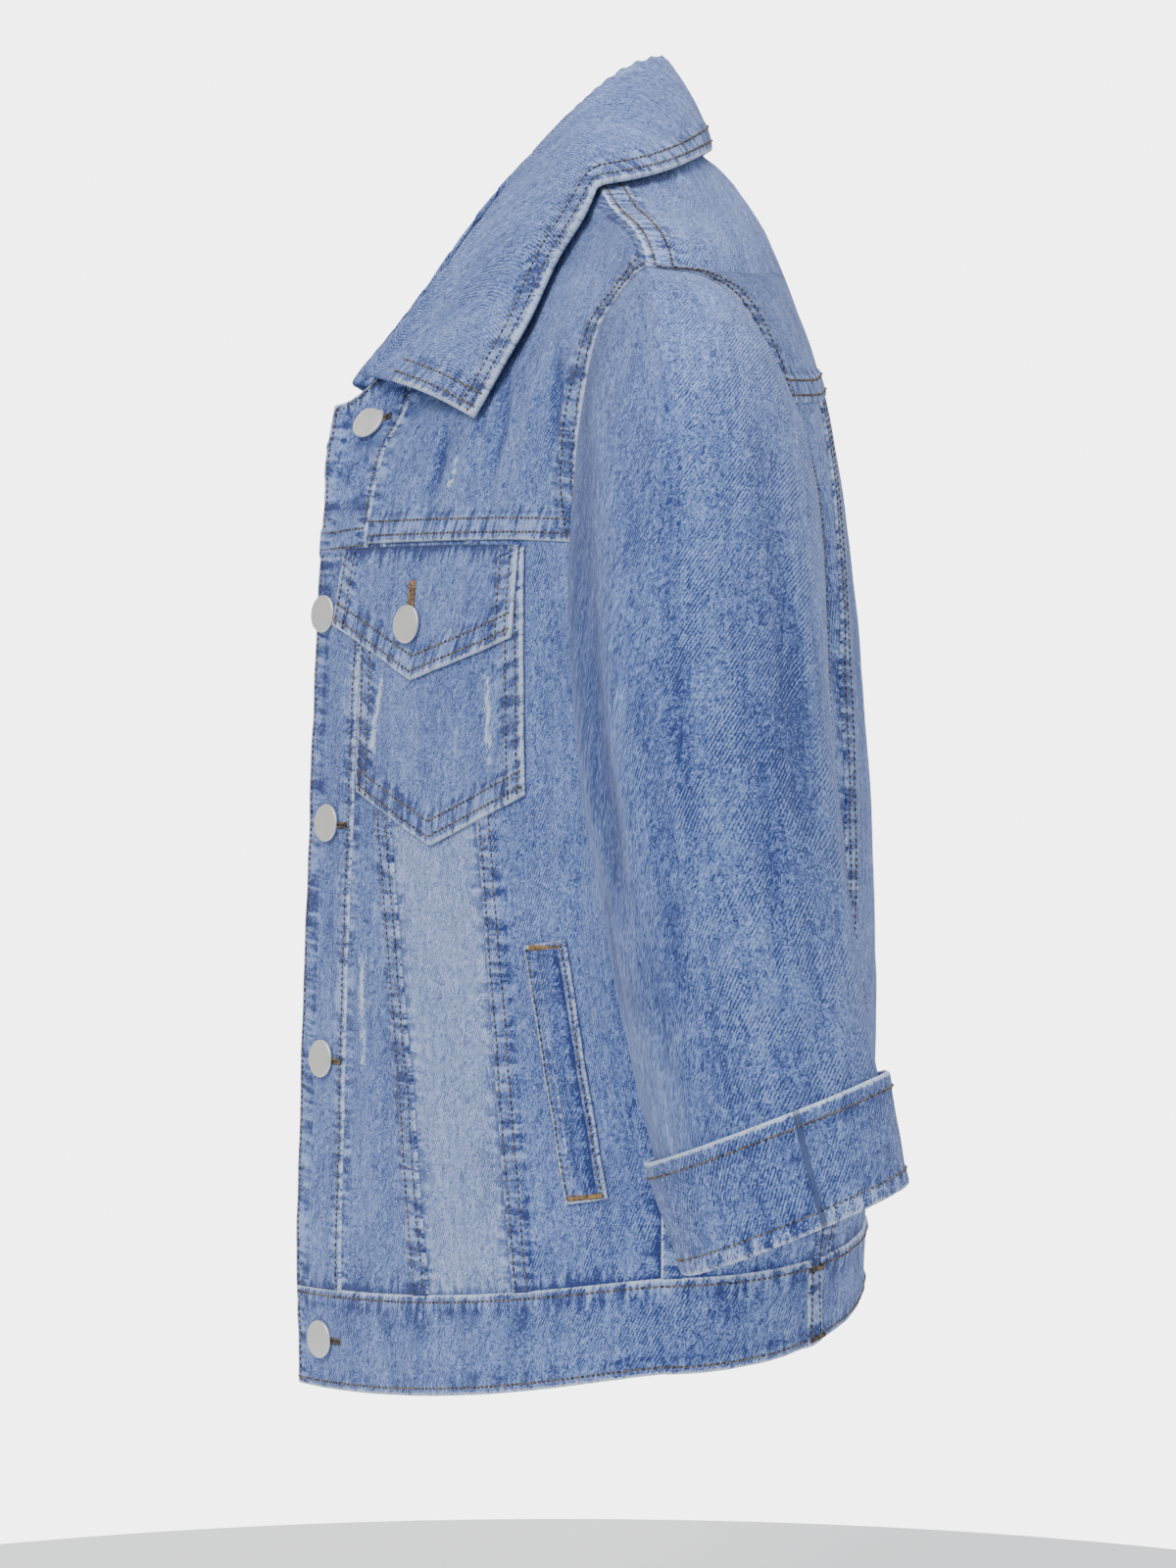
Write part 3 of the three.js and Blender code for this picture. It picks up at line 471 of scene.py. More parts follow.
def start_of(run):
    return run(np.zeros(1))[0]


def end_of(run):
    return run(np.ones(1))[0]


def patch(left, right, bottom, top):
    """Coons patch: sides blended across plus ends blended up, less the corners blended both ways."""

    def place(u, v):
        u, v = np.broadcast_arrays(u, v)
        a, b = u[..., None], v[..., None]
        sides = left(v) * (1 - a) + right(v) * a
        ends = bottom(u) * (1 - b) + top(u) * b
        low = start_of(bottom) * (1 - a) + end_of(bottom) * a
        high = start_of(top) * (1 - a) + end_of(top) * a
        both = sides + ends - low * (1 - b) - high * b
        return both[..., 0], both[..., 1]

    return place


def between(left, right):
    return patch(left, right, line(start_of(left), start_of(right)), line(end_of(left), end_of(right)))


def mirrored(place):
    """The same patch on the other side of the body, with its columns in the opposite order."""

    def other(u, v):
        s, row = place(1 - u, v)
        return 4 - s, row

    return other


@dataclass
class Edge:
    """How one border is sewn: a raised strip, rows of stitching at these distances, a worn fringe and a
    painted shadow beside it, between the two ends of a span."""

    side: str
    width: float = 0.0
    rise: float = 0.0
    rows: tuple = ()
    worn: float = 1.0
    pucker: float = 1.0
    painted_shadow: float = 0.0
    fringe: float = 1.25 * MM
    span: tuple = (0.0, 1.0)


@dataclass
class Piece:
    """One piece of cloth, as a wall over a patch."""

    name: str
    place: object
    point: object = body_point
    edges: tuple = ()
    out: object = 0.0
    thick: float = CLOTH
    finish: str = "denim"
    held: str = "hung"
    rests_on: tuple = ()
    loop: bool = False
    paint: object = None
    relief: object = None
    cell: float = CELL


def height_of(piece, a, b):
    return piece.out(a, b) if callable(piece.out) else np.full(np.shape(a), piece.out)


def spread(count):
    """Even numbers from 0 to 1, drawn together at both ends, where the sewing is."""
    t = np.linspace(0, 1, count)
    return t - GATHER * np.sin(2 * np.pi * t) / (2 * np.pi)


def grid_of(piece):
    """Parameters of a grid with cells of about the piece's cell size."""
    u, v = np.meshgrid(np.linspace(0, 1, PROBES), np.linspace(0, 1, PROBES), indexing="ij")
    points = piece.point(*piece.place(u, v), 0.0)
    wide = np.linalg.norm(np.diff(points, axis=0), axis=-1).sum(0).max()
    tall = np.linalg.norm(np.diff(points, axis=1), axis=-1).sum(1).max()
    columns, rows = (int(min(max(size / piece.cell, FEWEST_CELLS), MOST_CELLS)) for size in (wide, tall))
    across = np.linspace(0, 1, columns + 1) if piece.loop else spread(columns + 1)
    return np.meshgrid(across, spread(rows + 1), indexing="ij")


def distances(points):
    """Running length of the grid lines from each of the four borders."""
    along_u = np.linalg.norm(np.diff(points, axis=0), axis=-1)
    along_v = np.linalg.norm(np.diff(points, axis=1), axis=-1)
    left = np.concatenate([np.zeros((1, points.shape[1])), np.cumsum(along_u, 0)])
    bottom = np.concatenate([np.zeros((points.shape[0], 1)), np.cumsum(along_v, 1)], 1)
    return dict(left=left, right=left[-1:] - left, bottom=bottom, top=bottom[:, -1:] - bottom)


def shell_faces(columns, rows, loop, mirror):
    """Quads of a closed wall whose points are layers of a columns by rows grid: outer, inner, then the rim's
    bulged middle as a third layer that only its border points use."""
    size = columns * rows

    def at(layer, i, j):
        return layer * size + (i % columns) * rows + j

    spans = columns if loop else columns - 1
    i, j = np.meshgrid(np.arange(spans), np.arange(rows - 1), indexing="ij")
    i, j = i.ravel(), j.ravel()
    quads = [np.stack([at(0, i, j), at(0, i + 1, j), at(0, i + 1, j + 1), at(0, i, j + 1)], -1)]
    quads.append(np.stack([at(1, i, j), at(1, i, j + 1), at(1, i + 1, j + 1), at(1, i + 1, j)], -1))

    def rim(start, end, i, j, di, dj):
        """Quads along one border, from one side of the wall to the bulged middle and on to the other side."""
        steps = [np.stack([at(layer, i, j), at(layer, i + di, j + dj)], -1) for layer in (start, 2, end)]
        return [np.concatenate([near, far[:, ::-1]], -1) for near, far in zip(steps, steps[1:])]

    k, m = np.arange(spans), np.arange(rows - 1)
    quads += rim(1, 0, k, 0, 1, 0) + rim(0, 1, k, rows - 1, 1, 0)
    if not loop:
        quads += rim(0, 1, 0, m, 0, 1) + rim(1, 0, columns - 1, m, 0, 1)
    quads = np.concatenate(quads)
    return quads[:, ::-1] if mirror else quads


def linked(name, data):
    """New object in the scene, with this mesh, lamp or camera."""
    obj = bpy.data.objects.new(name, data)
    bpy.context.scene.collection.objects.link(obj)
    return obj


def mesh_object(name, points, faces, colors=None, uv=None, smooth=True):
    """New object from arrays of points and faces, dropping the points that no face uses."""
    used, index = np.unique(faces, return_inverse=True)
    index = index.reshape(faces.shape)
    points = points[used]
    mesh = bpy.data.meshes.new(name)
    mesh.vertices.add(len(points))
    mesh.vertices.foreach_set("co", points.astype(np.float32).ravel())
    mesh.loops.add(index.size)
    mesh.loops.foreach_set("vertex_index", index.astype(np.int32).ravel())
    mesh.polygons.add(len(index))
    mesh.polygons.foreach_set("loop_start", np.arange(0, index.size, index.shape[1], dtype=np.int32))
    mesh.update(calc_edges=True)
    mesh.polygons.foreach_set("use_smooth", np.full(len(index), smooth))
    if uv is not None:
        layer = mesh.uv_layers.new(name="cloth")
        layer.data.foreach_set("uv", uv[used][index.ravel()].astype(np.float32).ravel())
    for key, values in (colors or {}).items():
        attribute = mesh.attributes.new(key, "FLOAT_COLOR", "POINT")
        attribute.data.foreach_set("color", values[used].astype(np.float32).ravel())
    mesh.validate()
    return linked(name, mesh)


thread_runs = {}  # stitches by region: lists of (centres, directions, normals, lengths)


def sewn_height(piece, gap):
    """Raised strips along the sewn borders, which are themselves rounded down."""
    total = np.zeros(gap["left"].shape)
    for edge in piece.edges:
        inside = inside_span(edge, gap)
        raised = step((edge.width - gap[edge.side]) / STRIP_SLOPE + 0.5)
        total = np.maximum(total, inside * edge.rise * raised)
    nearest = np.minimum(gap["bottom"], gap["top"])
    if not piece.loop:
        nearest = np.minimum(nearest, np.minimum(gap["left"], gap["right"]))
    return total - BORDER_DROP * (1 - step(nearest / BORDER_ROUND))


def inside_span(edge, gap):
    """Weight of a border's finish along it: one inside its span, fading out over a few millimetres."""
    if edge.span == (0.0, 1.0):
        return 1.0
    start, end = ("bottom", "top") if edge.side in ("left", "right") else ("left", "right")
    t = gap[start] / np.maximum(gap[start] + gap[end], 1e-9)
    return step((t - edge.span[0]) / 0.02 + 0.5) * step((edge.span[1] - t) / 0.02 + 0.5)


def finish_of(piece, a, b, gap, relief):
    """Colour attribute: worn edges and the painted highlight on ridges, puckers of seams that run up and of
    seams that run across, and shade: painted shade and shadow, and dark patches.
    """
    shape = gap["left"].shape
    worn, up, across = np.zeros(shape), np.zeros(shape), np.zeros(shape)
    shade = CREASE_SHADE[0] * np.clip(-relief / CREASE_SHADE[1], 0, 1)
    # Ridges paler: a painted highlight, with some wear
    worn += RIDGE_HIGHLIGHT_AND_WEAR[0] * np.clip(relief / RIDGE_HIGHLIGHT_AND_WEAR[1], 0, 1)
    for edge in piece.edges:
        weight = inside_span(edge, gap)
        d = gap[edge.side]
        worn = np.maximum(worn, weight * edge.worn * nearly(d, 0, edge.fringe))
        # Painted shadow beside a border, cast by the higher piece next to it
        shade = np.maximum(shade, weight * edge.painted_shadow * nearly(d, 0, PAINTED_SHADOW_WIDTH))
        width = max(edge.width, LEAST_PUCKERED)
        reach = weight * edge.pucker * (1 - step((d - width) / PUCKER_REACH))
        if edge.side in ("left", "right"):
            up = np.maximum(up, reach)
        else:
            across = np.maximum(across, reach)
        if edge.rise > 0:
            most, beside, wide = STRIP_SHADE
            shade = np.maximum(shade, weight * most * nearly(d, edge.width + beside, wide))
    if piece.paint is not None:
        extra_worn, extra_shade = piece.paint(a, b, gap)
        worn, shade = np.maximum(worn, extra_worn), np.maximum(shade, extra_shade)
    return np.stack([worn, up, across, shade], -1)


def border_line(piece, edge, distance):
    """Line at a distance inside a border: steps inwards are scaled until the chord has that length."""
    t = np.linspace(edge.span[0], edge.span[1], MOST_CELLS)

    def at(k):
        return {"left": (k, t), "right": (1 - k, t), "bottom": (t, k), "top": (t, 1 - k)}[edge.side]

    border = piece.point(*piece.place(*at(np.zeros(t.shape))), 0.0)
    k = np.full(t.shape, 0.01)
    for _ in range(5):
        reached = np.linalg.norm(piece.point(*piece.place(*at(k)), 0.0) - border, axis=-1)
        k = np.clip(k * distance / np.maximum(reached, 1e-6), 1e-4, 0.95)
    a, b = piece.place(*at(k))
    out = height_of(piece, a, b) + (edge.rise if distance < edge.width else 0) + 0.3 * THREAD
    below = piece.point(a, b, out)
    return below, unit(piece.point(a, b, out + MM) - below)


def add_row(region, points, normals, trim=0.0):
    """Evenly spaced stitches along a line, by its running length."""
    run = np.concatenate([[0], np.cumsum(np.linalg.norm(np.diff(points, axis=0), axis=-1))])
    count = int((run[-1] - 2 * trim) / PITCH)
    if count < 2:
        return
    middle = np.linspace(trim, run[-1] - trim, count, endpoint=False) + PITCH / 2

    def pick(values, at):
        return np.stack([np.interp(at, run, values[:, k]) for k in range(3)], -1)

    centres = pick(points, middle)
    along = unit(pick(points, middle + 0.3 * PITCH) - pick(points, middle - 0.3 * PITCH))
    lengths = PITCH * random.uniform(0.7, 0.84, count)
    thread_runs.setdefault(region, []).append((centres, along, unit(pick(normals, middle)), lengths))


def flipped_x(values):
    return values * np.array([-1, 1, 1])


def build(piece, region, mirror=False):
    """Make a piece of cloth from its patch: outer and inner grids of points, a rim, its finish and sewing."""
    u, v = grid_of(piece)
    a, b = piece.place(u, v)
    base = piece.point(a, b, 0.0)
    gap = distances(base)
    if piece.loop:
        a, b, base = a[:-1], b[:-1], base[:-1]
        gap = {key: values[:-1] for key, values in gap.items()}
    columns, rows = a.shape
    height = height_of(piece, a, b)
    raised = sewn_height(piece, gap)
    if piece.relief is not None:
        raised = raised + piece.relief(a, b, gap)
    outer = piece.point(a, b, height + raised)
    inner = piece.point(a, b, height - piece.thick)
    middle = (outer + inner) / 2
    bulge = RIM_BULGE * piece.thick
    middle[:, 0] += unit(base[:, 0] - base[:, 1]) * bulge
    middle[:, -1] += unit(base[:, -1] - base[:, -2]) * bulge
    if not piece.loop:
        middle[0] += unit(base[0] - base[1]) * bulge
        middle[-1] += unit(base[-1] - base[-2]) * bulge
    creases = {body_point: body_relief, sleeve_point: sleeve_relief}.get(piece.point)
    relief = creases(a, b) if creases else np.zeros(a.shape)
    finish = finish_of(piece, a, b, gap, relief)
    inside_finish = finish * INSIDE_FINISH
    uv = np.stack([gap["left"], gap["bottom"]], -1)
    points = np.concatenate([layer.reshape(-1, 3) for layer in (outer, inner, middle)])
    if mirror:
        points = flipped_x(points)
    faces = shell_faces(columns, rows, piece.loop, mirror)
    wrong = np.zeros((3, columns * rows, 4))
    wrong[1] = 1
    colors = dict(
        finish=np.concatenate([layer.reshape(-1, 4) for layer in (finish, inside_finish, finish)]),
        wrong_side=wrong.reshape(-1, 4),
    )
    cloth_uv = np.concatenate([uv.reshape(-1, 2)] * 3) + random.uniform(0, PATTERN_SHIFT, 2)
    obj = mesh_object(f"{piece.name}_cloth", points, faces, colors, cloth_uv)
    obj.data.materials.append(materials[piece.finish])
    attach(obj, "root")
    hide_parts(piece.name)
    "denim_faded" if piece.finish == "denim_faded" else "denim"
    wide = max((gap["left"] + gap["right"]).max(), NARROWEST)
    tall = (gap["bottom"] + gap["top"]).max()
    cell = np.linalg.norm(np.cross(base[1:, :-1] - base[:-1, :-1], base[:-1, 1:] - base[:-1, :-1]), axis=-1)
    area = min(max(cell.sum(), LEAST_AREA * wide * tall), wide * tall)
    for edge in piece.edges:
        for distance in edge.rows:
            line_points, normals = border_line(piece, edge, distance)
            if mirror:
                line_points, normals = flipped_x(line_points), flipped_x(normals)
            add_row(region, line_points, normals, trim=STITCH_TRIM)


def threads(name, runs, material):
    """Short threads, each three square rings along its direction, thinner and lower at its ends."""
    centres, along, normals, lengths = (np.concatenate(part) for part in zip(*runs))
    sideways = unit(np.cross(along, normals))
    upright = unit(np.cross(sideways, along))
    rings = []
    for reach, size, lift in ((-0.5, 0.55, -0.5), (0, 1, 0.35), (0.5, 0.55, -0.5)):
        middle = centres + along * (lengths * reach)[:, None] + upright * lift * THREAD
        for x, y in ((1, 0), (0, 1), (-1, 0), (0, -1)):
            rings.append(middle + (sideways * x + upright * y * 0.8) * size * THREAD)
    points = np.stack(rings, 1).reshape(-1, 3)
    square = np.arange(4)
    beside = (square + 1) % 4
    quads = [np.stack([low + square, low + beside, low + 4 + beside, low + 4 + square], -1) for low in (0, 4)]
    quads = np.concatenate(quads + [np.array([[3, 2, 1, 0], [8, 9, 10, 11]])])
    faces = (quads[None] + 12 * np.arange(len(centres))[:, None, None]).reshape(-1, 4)
    obj = mesh_object(name, points, faces)
    obj.data.materials.append(material)
    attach(obj, "root")


# Materials
def srgb(*numbers):
    """Linear colour from the 0 to 255 numbers of a paint chart."""
    parts = [number / 255 for number in numbers]
    return tuple(c / 12.92 if c <= 0.04045 else ((c + 0.055) / 1.055) ** 2.4 for c in parts) + (1,)


class Value:
    """A number socket; arithmetic on it adds Math nodes."""

    def __init__(self, finish, socket):
        self.finish, self.socket = finish, socket

    def math(self, operation, *others):
        inputs = {k: other for k, other in enumerate((self, *others))}
        return self.finish.value("ShaderNodeMath", dict(operation=operation), inputs)

    def __add__(self, other):
        return self.math("ADD", other)

    def __sub__(self, other):
        return self.math("SUBTRACT", other)

    def __mul__(self, other):
        return self.math("MULTIPLY", other)

    def __rsub__(self, other):
        return (self * -1) + other

    __radd__, __rmul__ = __add__, __mul__

    def between(self, low, high):
        """Smooth step from 0 to 1 between two values."""
        settings = dict(interpolation_type="SMOOTHSTEP")
        inputs = {"Value": self, "From Min": low, "From Max": high}
        return self.finish.value("ShaderNodeMapRange", settings, inputs)


class Finish:
    """A material under construction."""

    def __init__(self, name):
        self.material = bpy.data.materials.new(name)
        self.material.use_nodes = True
        self.tree = self.material.node_tree
        self.tree.nodes.clear()

    def node(self, kind, settings=(), inputs=()):
        """New node: its settings first, then the values or links of its sockets."""
        made = self.tree.nodes.new(kind)
        for key, value in dict(settings).items():
            if key == "stops":
                ramp = made.color_ramp
                while len(ramp.elements) < len(value):
                    ramp.elements.new(0.5)
                for element, (position, color) in zip(ramp.elements, value):
                    element.position, element.color = position, color
            else:
                setattr(made, key, value)
        for key, value in dict(inputs).items():
            value = value.socket if isinstance(value, Value) else value
            if isinstance(value, bpy.types.NodeSocket):
                self.tree.links.new(value, made.inputs[key])
            else:
                made.inputs[key].default_value = value
        return made

    def value(self, kind, settings=(), inputs=(), output=0):
        return Value(self, self.node(kind, settings, inputs).outputs[output])

    def noise(self, vector, scale, detail=2.0, rough=0.5, distortion=0.0):
        inputs = {"Vector": vector, "Scale": scale, "Detail": detail, "Roughness": rough}
        return self.value("ShaderNodeTexNoise", (), {**inputs, "Distortion": distortion})

    def stretched(self, vector, x, y, turn=0.0):
        """The vector scaled by x and y, after a turn."""
        turned = {"Vector": vector, "Rotation": (0, 0, turn)}
        first = self.node("ShaderNodeMapping", (), turned).outputs[0]
        return self.node("ShaderNodeMapping", (), {"Vector": first, "Scale": (x, y, 1)}).outputs[0]

    def mix(self, amount, a, b):
        settings = dict(data_type="RGBA", clamp_factor=True)
        return self.node("ShaderNodeMix", settings, {0: amount, 6: a, 7: b}).outputs[2]

    def done(self, inputs):
        surface = self.node("ShaderNodeBsdfPrincipled", (), inputs)
        self.node("ShaderNodeOutputMaterial", (), {"Surface": surface.outputs[0]})
        return self.material


def denim(name, deep, mid, pale, twill_turn):
    """Washed twill: slanting ribs, uneven yarns, a crumpled wash, pale worn edges, ridges paler by a painted
    highlight and wear, painted shade and shadow from the shade attribute, and puckers that run away from the
    stitched seams."""
    f = Finish(name)
    flat = f.node("ShaderNodeUVMap", dict(uv_map="cloth")).outputs[0]
    finish = f.node("ShaderNodeAttribute", dict(attribute_name="finish"))
    parts = f.node("ShaderNodeSeparateColor", (), {0: finish.outputs["Color"]})
    # worn holds wear and the painted highlight on ridges; shade holds painted shade and shadow
    worn, up, across = (Value(f, parts.outputs[k]) for k in range(3))
    shade = Value(f, finish.outputs["Alpha"])
    wrong = f.value("ShaderNodeSeparateColor", (), {0: f.node(
        "ShaderNodeAttribute", dict(attribute_name="wrong_side")).outputs["Color"]})

    crumple = f.noise(f.stretched(flat, 460, 250, 0.45), 1.0, 2.5, 0.55, 1.9)
    fine = f.noise(flat, 1100, 1.5, 0.6)
    wash = f.noise(f.stretched(flat, 34, 17), 1.0, 4, 0.6, 0.5)
    streaks = f.noise(f.stretched(flat, 300, 24), 1.0, 3, 0.6)
    rib_lines = f.stretched(flat, 1, 1, twill_turn)
    ribs = f.value("ShaderNodeTexWave", dict(wave_type="BANDS", bands_direction="X", wave_profile="SIN"), {
        "Vector": rib_lines, "Scale": 230, "Distortion": 1.6, "Detail": 2.0, "Detail Scale": 0.6}, output=1)
    patches = f.noise(f.stretched(flat, 60, 36), 1.0, 2)
    ribs_show = patches.between(0.38, 0.62)

    # Puckers: bands across each stitched seam, short ones and a few broad ones
    short_up = f.noise(f.stretched(flat, 46, 260, 0.12), 1.0, 2, 0.5, 0.5)
    short_across = f.noise(f.stretched(flat, 260, 46, 0.12), 1.0, 2, 0.5, 0.5)
    broad_up = f.noise(f.stretched(flat, 30, 90), 1.0, 2, 0.5, 0.6)
    broad_across = f.noise(f.stretched(flat, 90, 30), 1.0, 2, 0.5, 0.6)
    pucker_up = (short_up * 0.74 + broad_up * 0.26).between(0.34, 0.66)
    pucker_across = (short_across * 0.74 + broad_across * 0.26).between(0.34, 0.66)
    pucker = (pucker_up - 0.5) * up + (pucker_across - 0.5) * across

    # The shade darkens the tone: painted shade in creases and painted shadow beside strips and borders
    tone = (wash - 0.5) * 0.45 + (streaks - 0.5) * 0.42 + (crumple - 0.5) * 1.5 + (fine - 0.5) * 0.95
    tone = tone + (ribs - 0.5) * ribs_show * 0.42 + pucker * 0.7 - shade * 0.34 + worn * 0.08 + 0.5
    color = f.node("ShaderNodeValToRGB", dict(stops=[(0.16, deep), (0.5, mid), (0.88, pale)]), {0: tone})
    ragged = (crumple - 0.5) * 1.3 + (fine - 0.5) * 0.8 + pucker * 0.35
    paleness = (worn + ragged).between(0.38, 1.05)
    whitened = f.mix(paleness * 0.9, color.outputs[0], srgb(200, 213, 234))
    turned = f.mix(wrong * 0.55, whitened, srgb(158, 174, 202))
    # Painted shadow: where the shade goes over one, in the welt slits and beside borders, the cloth turns
    # deep navy
    base = f.mix(shade.between(1.0, 1.5) * 0.8, turned, srgb(18, 26, 52))

    height = ribs * ribs_show * 0.16 + crumple * 0.8 + streaks * 0.14 + fine * 0.14 + pucker * 0.95
    bumped = f.node("ShaderNodeBump", (), {"Strength": 0.9, "Distance": 0.9 * MM, "Height": height})
    return f.done({
        "Base Color": base, "Roughness": 0.92, "Specular IOR Level": 0.18, "Sheen Weight": 0.12,
        "Sheen Roughness": 0.6, "Normal": bumped.outputs[0]})


def thread_finish(name, dark, light):
    """Spun sewing thread: two tones along each stitch, with its twist as fine slanting bumps."""
    f = Finish(name)
    place = f.node("ShaderNodeTexCoord").outputs["Object"]
    tone = f.noise(place, 420, 2)
    twist = f.noise(f.stretched(place, 2600, 900, 0.7), 1.0, 1)
    bumped = f.node("ShaderNodeBump", (), {"Strength": 0.5, "Distance": 0.1 * MM, "Height": twist})
    color = f.mix(tone.between(0.35, 0.65), dark, light)
    return f.done({"Base Color": color, "Roughness": 0.7, "Normal": bumped.outputs[0]})


def button_finish():
    """Brushed warm silver: fine scratches in one direction and slightly dull patches."""
    f = Finish("button_metal")
    place = f.node("ShaderNodeTexCoord").outputs["Object"]
    brushed = f.noise(f.stretched(place, 300, 300), 1.0, 2)
    along = f.node("ShaderNodeMapping", (), {"Vector": place, "Scale": (900, 900, 9000)}).outputs[0]
    scratches = f.noise(along, 1.0, 2)
    bumped = f.node("ShaderNodeBump", (), {"Strength": 0.25, "Distance": 0.05 * MM, "Height": scratches})
    color = f.mix(brushed, srgb(232, 229, 222), srgb(248, 246, 240))
    rough = 0.42 + brushed * 0.14
    return f.done({"Base Color": color, "Metallic": 1.0, "Roughness": rough, "Normal": bumped.outputs[0]})


TWILL = math.radians(32)
materials = dict(
    denim=denim("denim", srgb(42, 58, 115), srgb(98, 121, 179), srgb(150, 171, 219), TWILL),
    # A paler copy of the denim, for the middle panels
    denim_faded=denim("denim_faded", srgb(76, 95, 150), srgb(132, 152, 197), srgb(176, 192, 227), TWILL),
    topstitch=thread_finish("topstitch", srgb(44, 38, 40), srgb(124, 106, 80)),
    buttonhole=thread_finish("buttonhole_thread", srgb(104, 80, 50), srgb(158, 126, 82)),
    button_metal=button_finish(),
)


# Sewing of the seams, in metres from the border
FELLED = dict(width=12 * MM, rise=0.9 * MM, rows=(2.8 * MM, 9.6 * MM), worn=0.6)  # folded seam with two rows
ARM_SEWN = dict(width=13 * MM, rise=0.8 * MM, rows=(2.6 * MM, 9.6 * MM))  # border along the armhole
OTHER_SIDE = dict(left="right", right="left", bottom="bottom", top="top")


def both_sides(name, place, edges, region, rests_on, **options):
    """The same piece on the left and, mirrored, on the right; what it rests on is mirrored too."""
    build(Piece(f"{name}_left", place, edges=edges, rests_on=rests_on, **options), f"{region}_left")
    swapped = []
    for edge in edges:
        span = edge.span if edge.side in ("left", "right") else (1 - edge.span[1], 1 - edge.span[0])
        swapped.append(replace(edge, side=OTHER_SIDE[edge.side], span=span))
    options["edges"] = tuple(swapped)
    options["rests_on"] = tuple(node.replace("_left", "_right") for node in rests_on)
    build(Piece(f"{name}_right", mirrored(place), **options), f"{region}_right")


def front_yoke_row(s):
    return FRONT_YOKE_LOW[0] - FRONT_YOKE_LOW[1] * s


def yoke_lap(s, row):
    """The front yoke's lower edge stands off the panels."""
    return YOKE_LAP[2] * bump((row - YOKE_LAP[0]) / YOKE_LAP[1])


def streak(s, row, start, end, width):
    """Worn white streak along a line on the body, ragged in width."""
    t = np.clip((row - start[1]) / (end[1] - start[1]), 0, 1)
    middle = start[0] + (end[0] - start[0]) * t
    low, high = min(start[1], end[1]), max(start[1], end[1])
    inside = step((row - low) / 0.05 + 0.5) * step((high - row) / 0.05 + 0.5)
    ragged = 0.75 + 0.5 * rumple(s * 300, row * 60, 11)
    return inside * nearly(s, middle, width) * np.clip(ragged, 0, 1)


def streaks_of(*places):
    """Paint for a piece with worn streaks, given as start, end and half width, on either side of the body."""

    def paint(s, row, gap):
        side = np.where(s > 2, 4 - s, s)
        worn = sum(streak(side, row, start, end, width) for start, end, width in places)
        return np.clip(1.35 * worn, 0, 1), np.zeros(s.shape)

    return paint


def front_panels():
    placket = strip_edge(PLACKET_WIDTH, BAND_TOP, float(front_yoke_row(across_front(PLACKET_WIDTH, 5.0))))
    front = seam(FRONT_SEAM, front_yoke_row(FRONT_SEAM[-1][0]))
    pocket = seam(POCKET_SEAM, front_yoke_row(POCKET_SEAM[-1][0]))
    side = seam(SIDE_SEAM, SIDE_SEAM[-1][1])
    # Borders beside a higher piece (waistband, yoke, felled seams) get a painted shadow
    flat_edge = dict(worn=0.2, pucker=0.7, painted_shadow=1.25)
    under_yoke = Edge("top", worn=0.0, pucker=0.9, painted_shadow=1.25)
    both_sides("front_panel", between(placket, front), (
        Edge("right", **FELLED), Edge("left", worn=0.2), Edge("bottom", **flat_edge), under_yoke),
        "front", rests_on=("yoke_front_left",), paint=streaks_of(((0.135, 2.75), (0.15, 2.2), 0.008)))
    both_sides("middle_panel", between(front, pocket), (
        Edge("left", **flat_edge), Edge("right", **flat_edge), Edge("bottom", **flat_edge), under_yoke),
        "front", finish="denim_faded", rests_on=("yoke_front_left",))
    corner = ARMHOLE[FRONT_YOKE]
    top = chain((line(end_of(pocket), corner), 4), (arm(FRONT_YOKE, UNDERARM), 6))
    low = line(start_of(pocket), start_of(side))
    both_sides("side_panel", patch(pocket, side, low, top), (
        Edge("left", **FELLED), Edge("right", **flat_edge), Edge("bottom", **flat_edge),
        Edge("top", **ARM_SEWN, span=(0.42, 1.0))),
        "front", rests_on=("yoke_front_left",))


